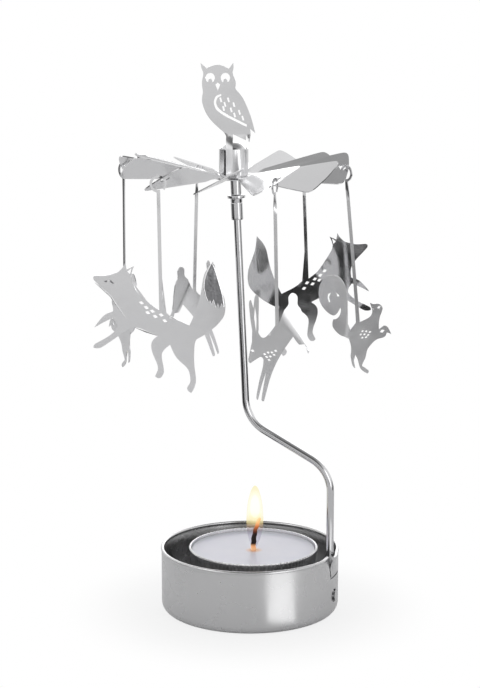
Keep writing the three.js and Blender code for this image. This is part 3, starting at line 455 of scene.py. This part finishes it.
wall_outer, wall_inner, tray_sheet, foot_round = 26.85, 26.5, 0.35, 2.6
lip_top, lip_middle, lip_round = 19.5, 26.55, 0.5
inner_round = foot_round - tray_sheet
wall_rows = [4, 6.6, 9.2, 11.6, 12.2, 12.9, 13.8, 14.8, 15.8, 16.8, 17.6]
tray = turned("tray_shell", [
    (0, 0), (12, 0),
    *corner(wall_outer - foot_round, foot_round, foot_round, -90, 0, 10),
    *[(wall_outer, z) for z in wall_rows],
    (wall_outer, 18.2), (wall_outer - 0.04, 18.5),
    *corner(lip_middle, lip_top - lip_round, lip_round, -50, 225, 14),
    (wall_inner, 18.3), (wall_inner - 0.08, 17.8), (wall_inner - 0.3, 16.9), (wall_inner - 0.42, 15.8),
    *[(wall_inner - 0.4, z) for z in reversed(wall_rows[:-2])],
    *corner(wall_inner - inner_round, foot_round, inner_round, 0, -90, 8),
    (20.5, tray_sheet), (19.9, 0.55), (19.3, 0.6), (18.7, 0.55), (18.1, tray_sheet), (0, tray_sheet),
], 240)
cut_from, cut_to = 23.9, 29
strap_side, strap_foot, slit_width, above_lip = 3.8, 12.4, 0.5, 21.5
slit_side, slit_top = -strap_side - slit_width, strap_foot + slit_width
cut_away(tray, prism("slit cutter", [
    (slit_side, strap_foot), (strap_side, strap_foot), (strap_side, slit_top),
    (-strap_side, slit_top), (-strap_side, above_lip), (slit_side, above_lip),
], cut_from, cut_to))
hole_side, hole_height, hole_reach, hole_rise = -1.2, 6.6, 2.3, 2.05
around = [2 * math.pi * i / 48 for i in range(48)]
cut_away(tray, prism("hole cutter", [
    (hole_side + hole_reach * math.cos(a), hole_height + hole_rise * math.sin(a)) for a in around
], cut_from, cut_to))
strap_push, dent_push, arc_radius = 1.05, -0.8, 27
strap_half, beside = strap_side / arc_radius, 6 / arc_radius
slit_angle = -(strap_side + slit_width / 2) / arc_radius
for point in tray.data.vertices:
    x, y, z = point.co / mm
    angle = math.atan2(y, x)
    raised = (z - strap_foot) / (lip_top - strap_foot)
    if raised <= 0 or x < 0 or angle > strap_half or angle < slit_angle - beside:
        continue
    if angle > slit_angle:
        out = strap_push * eased((strap_half - angle) / (2 * strap_half))
    else:
        out = dent_push * eased((angle - slit_angle + beside) / beside)
    point.co.x += out * raised * math.cos(angle) * mm
    point.co.y += out * raised * math.sin(angle) * mm
smoothed(tray, 40)
tray_steel = metal(
    "tinned tray steel", (0.65, 0.65, 0.655), roughness=0.25, waviness=0.05, wave_size=45,
    grain=0.4, smudges=0.05, streaks=0.25,
)
stands_for(tray, "candle_tray", "stand", tray_steel)

# Stand: one bright wire of 2.2 mm. Its cranked foot sits in the tray's hole, its leg behind the
# strap, and its top in the sleeve that holds the needle.
wire_radius, foot_end, leg_side, leg_top = 1.1, 27.1, 25.1, 44.8
needle_side, needle_height, needle_shown = -5.05, 141.4, 16.9
needle_tip = Vector((needle_side, 0, needle_height))
upper_corner = Vector((-1.1, 0, 58.6))
post_run = (needle_tip - upper_corner).normalized()
corners = [
    Vector((foot_end, 0, hole_height)), Vector((leg_side, 0, hole_height)),
    Vector((leg_side, 0, leg_top)), upper_corner, needle_tip - needle_shown * post_run,
]
bend_radii, bend_steps = (1.9, 11, 11), 14
foot_spread = [1.45, 1.7]
route = [corners[0], corners[0].lerp(corners[1], 0.05)]
for before, here, after, radius in zip(corners, corners[1:], corners[2:], bend_radii):
    came, goes = (here - before).normalized(), (after - here).normalized()
    turn = came.angle(goes)
    start = here - came * radius * math.tan(turn / 2)
    across = (goes - came * came.dot(goes)).normalized()
    for step in range(bend_steps + 1):
        spin = turn * step / bend_steps
        route.append(start + radius * (came * math.sin(spin) + across * (1 - math.cos(spin))))
route.append(corners[-1])


def round_wire(name, points, radius, shares):
    curve = bpy.data.curves.new(name, "CURVE")
    curve.dimensions = "3D"
    curve.bevel_depth = radius * mm
    curve.bevel_resolution = 7
    curve.use_fill_caps = True
    line = curve.splines.new("POLY")
    line.points.add(len(points) - 1)
    for stop, point, share in zip(line.points, points, shares):
        stop.co = (*(point * mm), 1)
        stop.radius = share
    piece = linked(name, curve)
    active(piece)
    bpy.ops.object.convert(target="MESH")
    shape = bmesh.new()
    shape.from_mesh(piece.data)
    bmesh.ops.remove_doubles(shape, verts=shape.verts, dist=0.001 * mm)
    bmesh.ops.recalc_face_normals(shape, faces=shape.faces)
    shape.to_mesh(piece.data)
    shape.free()
    return piece


plain_run = [1] * (len(route) - len(foot_spread))
rod = round_wire("stand_wire", route, wire_radius, foot_spread + plain_run)
smoothed(rod, 40)
wire_steel = metal(
    "bright wire", (0.66, 0.66, 0.67), roughness=0.07, waviness=0.1, wave_size=80,
    grain=0.2, smudges=0.06,
)
stands_for(rod, "stand_rod", "stand", wire_steel)

# Sleeve and needle: a turned steel sleeve is crimped on the wire's end, and a ground needle is
# pressed into its top. Both stand on the post's own line, and are measured from the needle's tip.
post_tilt = math.atan2(post_run.x, post_run.z)
sleeve = turned("crimped_sleeve", [
    (0, -16.6), (1.35, -16.6), (1.35, -22.4), (1.72, -22.4), (1.74, -21.9), (1.74, -17.6),
    (1.66, -17.45), (1.66, -17.25), (1.74, -17.1), (1.74, -16.2), (2.0, -16.0), (2.55, -16.0),
    (2.65, -15.9), (2.65, -15.2), (2.55, -15.1), (1.7, -15.1), (1.55, -14.9), (1.55, -8.6),
    (1.4, -8.4), (0.85, -8.4), (0.85, -12), (0, -12),
], 48, needle_tip, post_tilt)
smoothed(sleeve, 30, 0.05 * mm)
stands_for(sleeve, "pivot_sleeve", "stand", wire_steel)
needle = turned("ground_needle", [
    (0, -11.7), (0.6, -11.7), (0.6, -3.4), (0.12, -0.06), (0.06, 0), (0, 0),
], 32, needle_tip, post_tilt)
smoothed(needle, 30)
needle_steel = metal("ground needle steel", (0.5, 0.5, 0.51), roughness=0.2, grain=0.6, streaks=0.6)
stands_for(needle, "pivot_needle", "stand", needle_steel)

# Bearing cap: a drawn dome with a flange, dimpled where it rides on the needle's point. The
# owl's band is rolled round it and the rotor lies on its flange.
needle_gap, cap_sheet, dimple = 0.25, 0.4, 0.15
cap_outer, cap_inner, flange_edge = 3.75, 3.35, 5.3
dome_top = needle_height + needle_gap + cap_sheet - dimple
dome_foot, cap_foot = dome_top - 3, dome_top - 10.9


def dome(radius, height):
    angles = [math.radians(75 * i / 10) for i in range(11)]
    return [(radius * math.cos(a), dome_foot + height * math.sin(a)) for a in angles]


cap = turned("domed_cap", [
    (0, dome_top), *reversed(dome(cap_outer, 3)), (cap_outer, cap_foot + 1.1),
    *corner(cap_outer + 0.7, cap_foot + 1.1, 0.7, 180, 270, 6), (flange_edge - 0.1, cap_foot + 0.4),
    (flange_edge, cap_foot + 0.3), (flange_edge, cap_foot + 0.1), (flange_edge - 0.1, cap_foot),
    (cap_inner + 0.35, cap_foot), (cap_inner, cap_foot + 0.5), *dome(cap_inner, 2.6),
    (0.6, dome_top - 0.4), (0, dome_top - 0.25),
], 72, (needle_side, 0, 0))
smoothed(cap, 40)
stands_for(cap, "bearing_cap", "rotor", wire_steel)


# Rotor: one bright sheet of 0.3 mm, slit into twelve vanes that are twisted at their roots. It
# lies on the cap's flange, and every second vane has a hole for a figure's ring.
sheet, burr = 0.3, 0.04


def fine_blank(node, name):
    shape = bmesh.new()
    shape.from_mesh(nodes[node].data)
    bmesh.ops.remove_doubles(shape, verts=shape.verts, dist=0.001 * mm)
    bmesh.ops.dissolve_limit(
        shape, angle_limit=math.radians(0.15), verts=shape.verts, edges=shape.edges, delimit=set(),
    )
    bmesh.ops.recalc_face_normals(shape, faces=shape.faces)

    def turns(edge, least, most):
        return len(edge.link_faces) == 2 and least < math.degrees(edge.calc_face_angle()) < most

    bends = [
        edge for edge in shape.edges
        if abs(edge.calc_length() - sheet * mm) < 0.1 * sheet * mm and turns(edge, 4, 65)
    ]
    bmesh.ops.bevel(
        shape, geom=bends, offset=33, offset_type="PERCENT", segments=3, profile=0.5,
        affect="EDGES", clamp_overlap=True,
    )
    rims = [edge for edge in shape.edges if turns(edge, 60, 120)]
    bmesh.ops.bevel(
        shape, geom=rims, offset=burr * mm, offset_type="OFFSET", segments=1, profile=0.5,
        affect="EDGES", clamp_overlap=True,
    )
    bmesh.ops.recalc_face_normals(shape, faces=shape.faces)
    mesh = bpy.data.meshes.new(name)
    shape.to_mesh(mesh)
    shape.free()
    piece = linked(name, mesh)
    smoothed(piece, 30)
    return piece


rotor = fine_blank("rotor", "vaned_rotor")
rotor_steel = metal(
    "bright rotor sheet", (0.76, 0.76, 0.77), roughness=0.14, waviness=0.3, wave_size=35,
    grain=0.3, smudges=0.08,
)
stands_for(rotor, "rotor", "rotor", rotor_steel)

# Owl: cut with its stem and clip band as one strip of bright sheet. The band is rolled round the
# cap and holds by its spring.
owl = fine_blank("owl_topper", "cut_owl")
owl_steel = metal(
    "bright owl sheet", (0.8, 0.8, 0.81), roughness=0.15, waviness=0.4, wave_size=50,
    grain=0.3, smudges=0.08,
)
stands_for(owl, "owl_topper", "rotor", owl_steel)

# Hanging animals: each is cut with its strip and ring as one blank of bright sheet, folded and
# twisted by hand. The ring hangs in a vane's hole.
# Every figure is the same sheet, but its tone is set lighter or darker figure by figure to match how
# brightly it shows: painted light and shade on copies of one material.
for node, shift, tone, waviness, roughness in (
    ("squirrel_right", 0, 0.72, 0.3, 0.18),
    ("fox_back", 0.1, 0.77, 0.12, 0.05),
    ("hare_back", 0.2, 0.77, 0.2, 0.14),
    ("squirrel_left", 0.3, 0.8, 0.3, 0.14),
    ("fox_front", 0.4, 0.84, 0.3, 0.14),
    ("hare_front", 0.5, 0.75, 0.25, 0.22),
):
    animal = fine_blank(node, "cut_" + node)
    animal_steel = metal(
        "bright sheet of " + node, (tone, tone, tone + 0.01), shift=(shift, 0, 0), roughness=roughness,
        waviness=waviness, wave_size=26, grain=0.3, smudges=0.06,
    )
    stands_for(animal, node, node, animal_steel)

# Etching on the front fox: its tail's tip is etched dull with a raised bright border that ends in
# uneven teeth of fur. Fine bright lines follow its throat, neck and eye, and a dark one its belly.
# The bright lines are raised ridges that catch the light, in steel paler than the sheet: a painted
# highlight.
fox_turn = math.radians(17)
fox_facing = Vector((math.sin(fox_turn), -math.cos(fox_turn), 0))
fox_across = Vector((math.cos(fox_turn), math.sin(fox_turn), 0))
fox_front_face = 24.33
etch_proud, etch_depth, ridge_proud, ridge_root = 0.02, 0.12, 0.05, -0.01


def on_fox(right, z, proud):
    return (fox_across * right + Vector((0, 0, z)) + fox_facing * (fox_front_face + proud)) * mm


def rides_on_fox(mark, material):
    mark.data.materials.append(material)
    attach(mark, "fox_front")


def etched(name, outline, material):
    mesh = bpy.data.meshes.new(name)
    points = [on_fox(*point, etch_proud) for point in outline]
    mesh.from_pydata(points, [], [list(range(len(points)))])
    mark = linked(name, mesh)
    thicken(mark, fox_facing * -etch_depth * mm)
    rides_on_fox(mark, material)


def ridge(name, line, width, material, closed=False):
    count = len(line)
    points, faces = [], []
    for step, (right, z) in enumerate(line):
        before = line[step - 1] if step or closed else line[step]
        after = line[(step + 1) % count] if closed or step < count - 1 else line[step]
        run = Vector((after[0] - before[0], after[1] - before[1])).normalized()
        reach = width / 2 if closed or 0 < step < count - 1 else width / 8
        points += [
            on_fox(right - run.y * reach, z + run.x * reach, ridge_root),
            on_fox(right, z, ridge_proud),
            on_fox(right + run.y * reach, z - run.x * reach, ridge_root),
        ]
    for step in range(count if closed else count - 1):
        here, there = 3 * step, 3 * ((step + 1) % count)
        for one, other in ((0, 1), (1, 2), (2, 0)):
            faces.append((here + one, here + other, there + other, there + one))
    if not closed:
        faces += [(0, 1, 2), (3 * count - 1, 3 * count - 2, 3 * count - 3)]
    mesh = bpy.data.meshes.new(name)
    mesh.from_pydata(points, [], faces)
    mark = linked(name, mesh)
    faced_out(mark)
    rides_on_fox(mark, material)


tail_tip = [
    (-11.9, 98.6), (-12.6, 100.4), (-13.1, 102.8), (-13.0, 105.0), (-12.4, 107.1), (-11.6, 108.8),
    (-10.9, 110.0), (-10.4, 109.0), (-9.7, 107.0), (-8.8, 103.9), (-7.9, 100.6), (-7.5, 97.4),
    (-8.1, 98.5), (-8.7, 96.9), (-9.2, 98.6), (-9.8, 97.2), (-10.5, 99.5), (-11.1, 98.1), (-11.5, 99.3),
]
throat = [(-44.1, 104.4), (-41.7, 102.4), (-39.5, 100.3), (-38.0, 97.8), (-35.5, 94.4)]
dull = metal(
    "etched dull steel", (0.3, 0.3, 0.31), roughness=0.34, grain=1, waviness=0.8, wave_size=700,
    smudges=0.35,
)
# Painted highlight: the ridges' steel is paler than the fox's own sheet.
ridge_highlight_steel = metal("ridge steel with painted highlight", (0.95, 0.95, 0.96), roughness=0.2, grain=0.2)
etched("etched_tail_tip", tail_tip, dull)
ridge("tail_border", tail_tip, 0.4, ridge_highlight_steel, closed=True)
ridge("throat_line", throat, 0.52, ridge_highlight_steel)
ridge("neck_line", [(-33.6, 104.7), (-32.7, 102.6), (-31.5, 100.9)], 0.3, ridge_highlight_steel)
ridge("belly_line", [(-33.0, 91.5), (-29.8, 90.2), (-26.6, 89.1)], 0.34, dull)
ridge("eye_glint", [(-40.5, 105.0), (-40.1, 105.1), (-39.7, 105.0)], 0.6, ridge_highlight_steel)
etched("eye_corner", [(-39.6, 105.2), (-38.6, 104.2), (-39.1, 104.1), (-39.9, 104.7)], dull)
etched("eye_front", [(-41.6, 104.8), (-40.8, 105.1), (-40.5, 104.7), (-41.0, 104.5)], dull)

# Tealight cup: thin aluminium, pleated under its rolled rim and most of all in front. It stands
# on the tray's floor, a little off its middle.
candle_shift, candle_side, candle_foot = 1.1, math.radians(40), 0.65
candle = (candle_shift * math.cos(candle_side), candle_shift * math.sin(candle_side), candle_foot)
cup_wall, cup_foot, cup_lip, foil, foot_curve, draft = 19.15, 18.35, 18.15, 0.25, 1.2, 0.4
pleats, pleat_steps, pleat_rise, pleat_reach = 96, 8, 0.2, 0.34
pleat_foot, pleat_full = 16, 17.4
cup = turned("crimped_cup", [
    (0, 0), *corner(cup_foot - foot_curve, foot_curve, foot_curve, -90, 0, 8),
    (cup_wall - draft, 10), (cup_wall, 16.4), (cup_wall, 17.3),
    *corner(cup_wall, cup_lip, 0.35, -60, 120, 6),
    (cup_wall - foil, 17.6), (cup_wall - foil, 16.4), (cup_wall - draft - foil, 10),
    *corner(cup_foot - foot_curve, foot_curve, foot_curve - foil, 0, -90, 8), (0, foil),
], pleats * pleat_steps, candle)
random.seed(5)
tooth = [0.55 + 0.45 * random.random() for _ in range(pleats + 1)]
for point in cup.data.vertices:
    x, y, z = (point.co / mm) - Vector(candle)
    angle = math.atan2(y, x) % (2 * math.pi)
    place = angle / (2 * math.pi) * pleats
    upper = min(max((z - pleat_foot) / (pleat_full - pleat_foot), 0), 1)
    in_front = 0.25 + 0.75 * max(math.cos(angle + 1.2), 0)
    wave = math.cos(2 * math.pi * place) * tooth[int(place)] * upper * in_front
    point.co.z += pleat_rise * wave * mm
    point.co.x += pleat_reach * wave * math.cos(angle) * mm
    point.co.y += pleat_reach * wave * math.sin(angle) * mm
smoothed(cup, 40)
aluminium = metal(
    "aluminium foil", (0.8, 0.8, 0.81), roughness=0.28, waviness=0.3, wave_size=90,
    grain=0.5, smudges=0.1, streaks=0.4,
)
stands_for(cup, "tealight_cup", "tealight", aluminium)

# Wick sustainer: a small tinned disc with a collar for the wick. It lies on the cup's floor
# under the wax, and its CAD solid is kept.
disc_finishes = nodes["wick_sustainer"].data.materials
disc_finishes.clear()
disc_finishes.append(metal("tinned disc", (0.6, 0.6, 0.6), roughness=0.35, grain=0.6))

# Wax: a white cake with a soft lavender cast, cast in the cup. Its surface creeps up the cup's
# wall and the flame has melted a shallow wet dish round the wick. Round the wick its colour is
# painted orange: painted light of the flame.
wick_side, wax_top = 0.2, 17.3
wax = turned("wax_cake", [
    (0.95, 17.25), (1.6, 17.16), (3, 17.18), (6, 17.22), (10, 17.26), (15, 17.28), (17.6, 17.33),
    (18.3, 17.45), (18.6, 17.68), (18.6, 17.3), (18.05, 1.5), (16.85, 0.55), (6.3, 0.55),
    (6.3, 1.45), (1.8, 1.45), (1.8, 4.15), (0.95, 4.15),
], 144, candle)
smoothed(wax, 50)
paraffin = bpy.data.materials.new("lavender white wax")
paraffin.use_nodes = True
tree = paraffin.node_tree
shader = tree.nodes["Principled BSDF"]
shader.inputs["Roughness"].default_value = 0.45
shader.inputs["Subsurface Weight"].default_value = 0.5
shader.inputs["Subsurface Radius"].default_value = (1.2, 1.0, 1.1)
shader.inputs["Subsurface Scale"].default_value = 1.5 * mm
where = tree.nodes.new("ShaderNodeTexCoord")
cloudy = tree.nodes.new("ShaderNodeTexNoise")
cloudy.inputs["Scale"].default_value = 160
cloudy.inputs["Detail"].default_value = 3
tree.links.new(where.outputs["Object"], cloudy.inputs["Vector"])
tones = tree.nodes.new("ShaderNodeMix")
tones.data_type = "RGBA"
tones.inputs["A"].default_value = (0.73, 0.74, 0.84, 1)
tones.inputs["B"].default_value = (0.8, 0.8, 0.88, 1)
tree.links.new(cloudy.outputs["Fac"], tones.inputs["Factor"])
# Painted light: within 3 mm of the wick the wax's colour turns orange, as the flame's light on it.
from_wick = tree.nodes.new("ShaderNodeVectorMath")
from_wick.operation = "DISTANCE"
from_wick.inputs[1].default_value = (Vector(candle) + Vector((wick_side, 0, wax_top))) * mm
tree.links.new(where.outputs["Object"], from_wick.inputs[0])
near = tree.nodes.new("ShaderNodeMapRange")
near.interpolation_type = "SMOOTHSTEP"
near.inputs["From Min"].default_value = 3 * mm
near.inputs["From Max"].default_value = 0.7 * mm
tree.links.new(from_wick.outputs["Value"], near.inputs["Value"])
flame_glow_on_wax = tree.nodes.new("ShaderNodeMix")
flame_glow_on_wax.data_type = "RGBA"
flame_glow_on_wax.inputs["B"].default_value = (0.85, 0.5, 0.28, 1)
tree.links.new(near.outputs["Result"], flame_glow_on_wax.inputs["Factor"])
tree.links.new(tones.outputs["Result"], flame_glow_on_wax.inputs["A"])
tree.links.new(flame_glow_on_wax.outputs["Result"], shader.inputs["Base Color"])
uneven = tree.nodes.new("ShaderNodeBump")
uneven.inputs["Distance"].default_value = 0.06 * mm
uneven.inputs["Strength"].default_value = 0.6
tree.links.new(cloudy.outputs["Fac"], uneven.inputs["Height"])
tree.links.new(uneven.outputs["Normal"], shader.inputs["Normal"])
stands_for(wax, "tealight_wax", "tealight", paraffin)

# Wick: a braided cotton cord, waxed pale at its foot under a painted orange glow of the flame's
# light, charred above and glowing at the tip. It stands in the wax and leans over to one side.
def between(table, at):
    for (x0, y0), (x1, y1) in zip(table, table[1:]):
        if at <= x1:
            return y0 + (y1 - y0) * (at - x0) / (x1 - x0)
    return table[-1][1]


wick_foot, wick_length, wick_radius, wick_lean = wax_top - 0.3, 10.6, 0.72, 2
wick_sides, wick_steps, tip_start = 24, 60, 0.94
lean_by_height = ((0, 0), (0.3, 0.05), (0.6, 0.3), (0.85, 0.75), (1, 1))
girth_by_height = ((0, 1), (0.3, 1.05), (0.6, 0.85), (0.85, 0.8), (1, 0.6))
wick_shape = bmesh.new()
rings = []
for step in range(wick_steps + 1):
    up = step / wick_steps
    girth = wick_radius * between(girth_by_height, up)
    if up > tip_start:
        girth *= math.sqrt(max(1 - ((up - tip_start) / (1 - tip_start)) ** 2, 0.02))
    lean = wick_lean * between(lean_by_height, up)
    middle = Vector(candle) + Vector((lean, 0, wick_foot + wick_length * up))
    ring = []
    for side in range(wick_sides):
        angle = 2 * math.pi * side / wick_sides
        braid = 1 + 0.13 * math.cos(3 * angle - 26 * up) + 0.06 * math.cos(5 * angle + 40 * up)
        outward = Vector((math.cos(angle), math.sin(angle), 0))
        ring.append(wick_shape.verts.new((middle + outward * girth * braid) * mm))
    rings.append(ring)
for lower, upper in zip(rings, rings[1:]):
    for side in range(wick_sides):
        beside_it = (side + 1) % wick_sides
        wick_shape.faces.new((lower[side], lower[beside_it], upper[beside_it], upper[side]))
wick_shape.faces.new(list(reversed(rings[0])))
wick_shape.faces.new(rings[-1])
bmesh.ops.recalc_face_normals(wick_shape, faces=wick_shape.faces)
wick_mesh = bpy.data.meshes.new("braided_wick")
wick_shape.to_mesh(wick_mesh)
wick_shape.free()
wick = linked("braided_wick", wick_mesh)
smoothed(wick, 50)


def by_height(tree, stops, foot, top):
    where = tree.nodes.new("ShaderNodeTexCoord")
    place = tree.nodes.new("ShaderNodeSeparateXYZ")
    tree.links.new(where.outputs["Object"], place.inputs[0])
    along = tree.nodes.new("ShaderNodeMapRange")
    along.inputs["From Min"].default_value = foot * mm
    along.inputs["From Max"].default_value = top * mm
    tree.links.new(place.outputs["Z"], along.inputs["Value"])
    ramp = tree.nodes.new("ShaderNodeValToRGB")
    steps = ramp.color_ramp.elements
    steps[0].position, steps[0].color = 0, (*stops[0][1], 1)
    steps[1].position, steps[1].color = 1, (*stops[-1][1], 1)
    for spot, tone in stops[1:-1]:
        steps.new(spot).color = (*tone, 1)
    tree.links.new(along.outputs["Result"], ramp.inputs["Fac"])
    return ramp


charred = bpy.data.materials.new("charred cotton")
charred.use_nodes = True
tree = charred.node_tree
shader = tree.nodes["Principled BSDF"]
shader.inputs["Roughness"].default_value = 0.9
shader.inputs["Emission Strength"].default_value = 1
soot, no_glow = (0.012, 0.008, 0.006), (0, 0, 0)
for socket, stops in (
    ("Base Color", (
        (0, (0.75, 0.5, 0.32)), (0.13, (0.72, 0.4, 0.2)), (0.21, soot), (0.5, soot),
        (0.7, (0.06, 0.014, 0.004)), (1, (0.25, 0.06, 0.01)),
    )),
    # Emission: a painted glow of flame light on the waxed foot, none on the char, then the tip's own
    # glow.
    ("Emission Color", (
        (0, (0.32, 0.18, 0.09)), (0.13, (0.4, 0.16, 0.05)), (0.21, no_glow), (0.5, no_glow),
        (0.64, (0.16, 0.02, 0.003)), (0.82, (0.8, 0.14, 0.01)), (1, (1.3, 0.4, 0.04)),
    )),
):
    heat = by_height(tree, stops, foot=17.9, top=28.2)
    tree.links.new(heat.outputs["Color"], shader.inputs[socket])
where = tree.nodes.new("ShaderNodeTexCoord")
threads = tree.nodes.new("ShaderNodeTexNoise")
threads.inputs["Scale"].default_value = 3500
threads.inputs["Detail"].default_value = 4
tree.links.new(where.outputs["Object"], threads.inputs["Vector"])
frayed = tree.nodes.new("ShaderNodeBump")
frayed.inputs["Distance"].default_value = 0.08 * mm
tree.links.new(threads.outputs["Fac"], frayed.inputs["Height"])
tree.links.new(frayed.outputs["Normal"], shader.inputs["Normal"])
stands_for(wick, "tealight_wick", "tealight", charred)

# Flame: a bright heart and core in a thin yellow mantle that is clear and faintly blue at its
# foot. It stands on the wick and moves with the tealight.
flame_lean = ((17.9, 0.15), (22, 0.35), (26, 0.45), (38.1, 0.5))
mantle_form = (
    (18.4, 0.5), (19.8, 1.15), (21.4, 1.75), (23, 2.15), (24.6, 2.42), (26.2, 2.56), (27.8, 2.58),
    (29.4, 2.54), (30.9, 2.44), (32.5, 2.24), (34.1, 1.95), (35.7, 1.55), (36.9, 1.1), (37.6, 0.7),
    (38, 0.3), (38.1, 0.02),
)
core_form = (
    (25.9, 0.2), (26.6, 1.3), (28, 1.8), (29.6, 2), (31, 2), (32.5, 1.85), (34.1, 1.52), (35.4, 1.1),
    (36.3, 0.6), (36.6, 0.02),
)
heart_form = (
    (28, 0.2), (28.8, 1.1), (30, 1.45), (31.4, 1.5), (32.8, 1.36), (34, 1.05), (35, 0.6), (35.4, 0.02),
)


def grey(tone):
    return (tone, tone, tone)


def flame_part(name, form, foot, density, glow, clearness=None):
    top = form[-1][0]
    piece = turned(name, [(0, form[0][0]), *[(r, z) for z, r in form], (0, top)], 32)
    active(piece)
    finer = piece.modifiers.new("finer", "SUBSURF")
    finer.levels = 2
    bpy.ops.object.modifier_apply(modifier=finer.name)
    for point in piece.data.vertices:
        lean = between(flame_lean, point.co.z / mm)
        point.co.x += (candle[0] + lean) * mm
        point.co.y += (candle[1] + 0.3 * lean) * mm
    smoothed(piece, 80)
    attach(piece, "tealight")
    piece.visible_shadow = False
    material = bpy.data.materials.new(name.replace("_", " "))
    material.use_nodes = True
    tree = material.node_tree
    tree.nodes.remove(tree.nodes["Principled BSDF"])
    shine = tree.nodes.new("ShaderNodeEmission")
    air = tree.nodes.new("ShaderNodeBsdfTransparent")
    both = tree.nodes.new("ShaderNodeMixShader")
    for stops, socket in (
        (density, both.inputs["Fac"]), (glow, shine.inputs["Color"]), (clearness, air.inputs["Color"]),
    ):
        if stops:
            ramp = by_height(tree, stops, foot, top)
            ramp.color_ramp.interpolation = "EASE"
            tree.links.new(ramp.outputs["Color"], socket)
    tree.links.new(air.outputs[0], both.inputs[1])
    tree.links.new(shine.outputs[0], both.inputs[2])
    tree.links.new(both.outputs[0], tree.nodes["Material Output"].inputs["Surface"])
    piece.data.materials.append(material)


flame_part(
    "flame_heart", heart_form, foot=28,
    density=((0, grey(0.3)), (0.25, grey(0.6)), (0.7, grey(0.6)), (1, grey(0.3))),
    glow=((0, (1.5, 1.45, 1.2)), (1, (1.6, 1.6, 1.5))),
)
flame_part(
    "flame_core", core_form, foot=25.9,
    density=((0, grey(0)), (0.15, grey(0.4)), (0.3, grey(0.35)), (0.8, grey(0.45)), (1, grey(0.3))),
    glow=(
        (0, (0.95, 0.7, 0.3)), (0.2, (1.05, 0.95, 0.55)), (0.45, (1.2, 1.17, 0.98)),
        (1, (1.15, 1.12, 0.95)),
    ),
)
flame_part(
    "flame_mantle", mantle_form, foot=17.9,
    density=(
        (0, grey(0)), (0.3, grey(0.01)), (0.38, grey(0.12)), (0.46, grey(0.5)), (0.56, grey(0.36)),
        (0.85, grey(0.4)), (1, grey(0.7)),
    ),
    glow=(
        (0, (0.8, 0.5, 0.35)), (0.36, (0.95, 0.55, 0.25)), (0.46, (0.93, 0.82, 0.42)),
        (0.56, (1, 0.95, 0.66)), (0.82, (1, 0.95, 0.66)), (1, (0.97, 0.9, 0.55)),
    ),
    clearness=((0, (0.9, 0.89, 0.93)), (0.32, (0.9, 0.89, 0.93)), (0.42, grey(1)), (1, grey(1))),
)
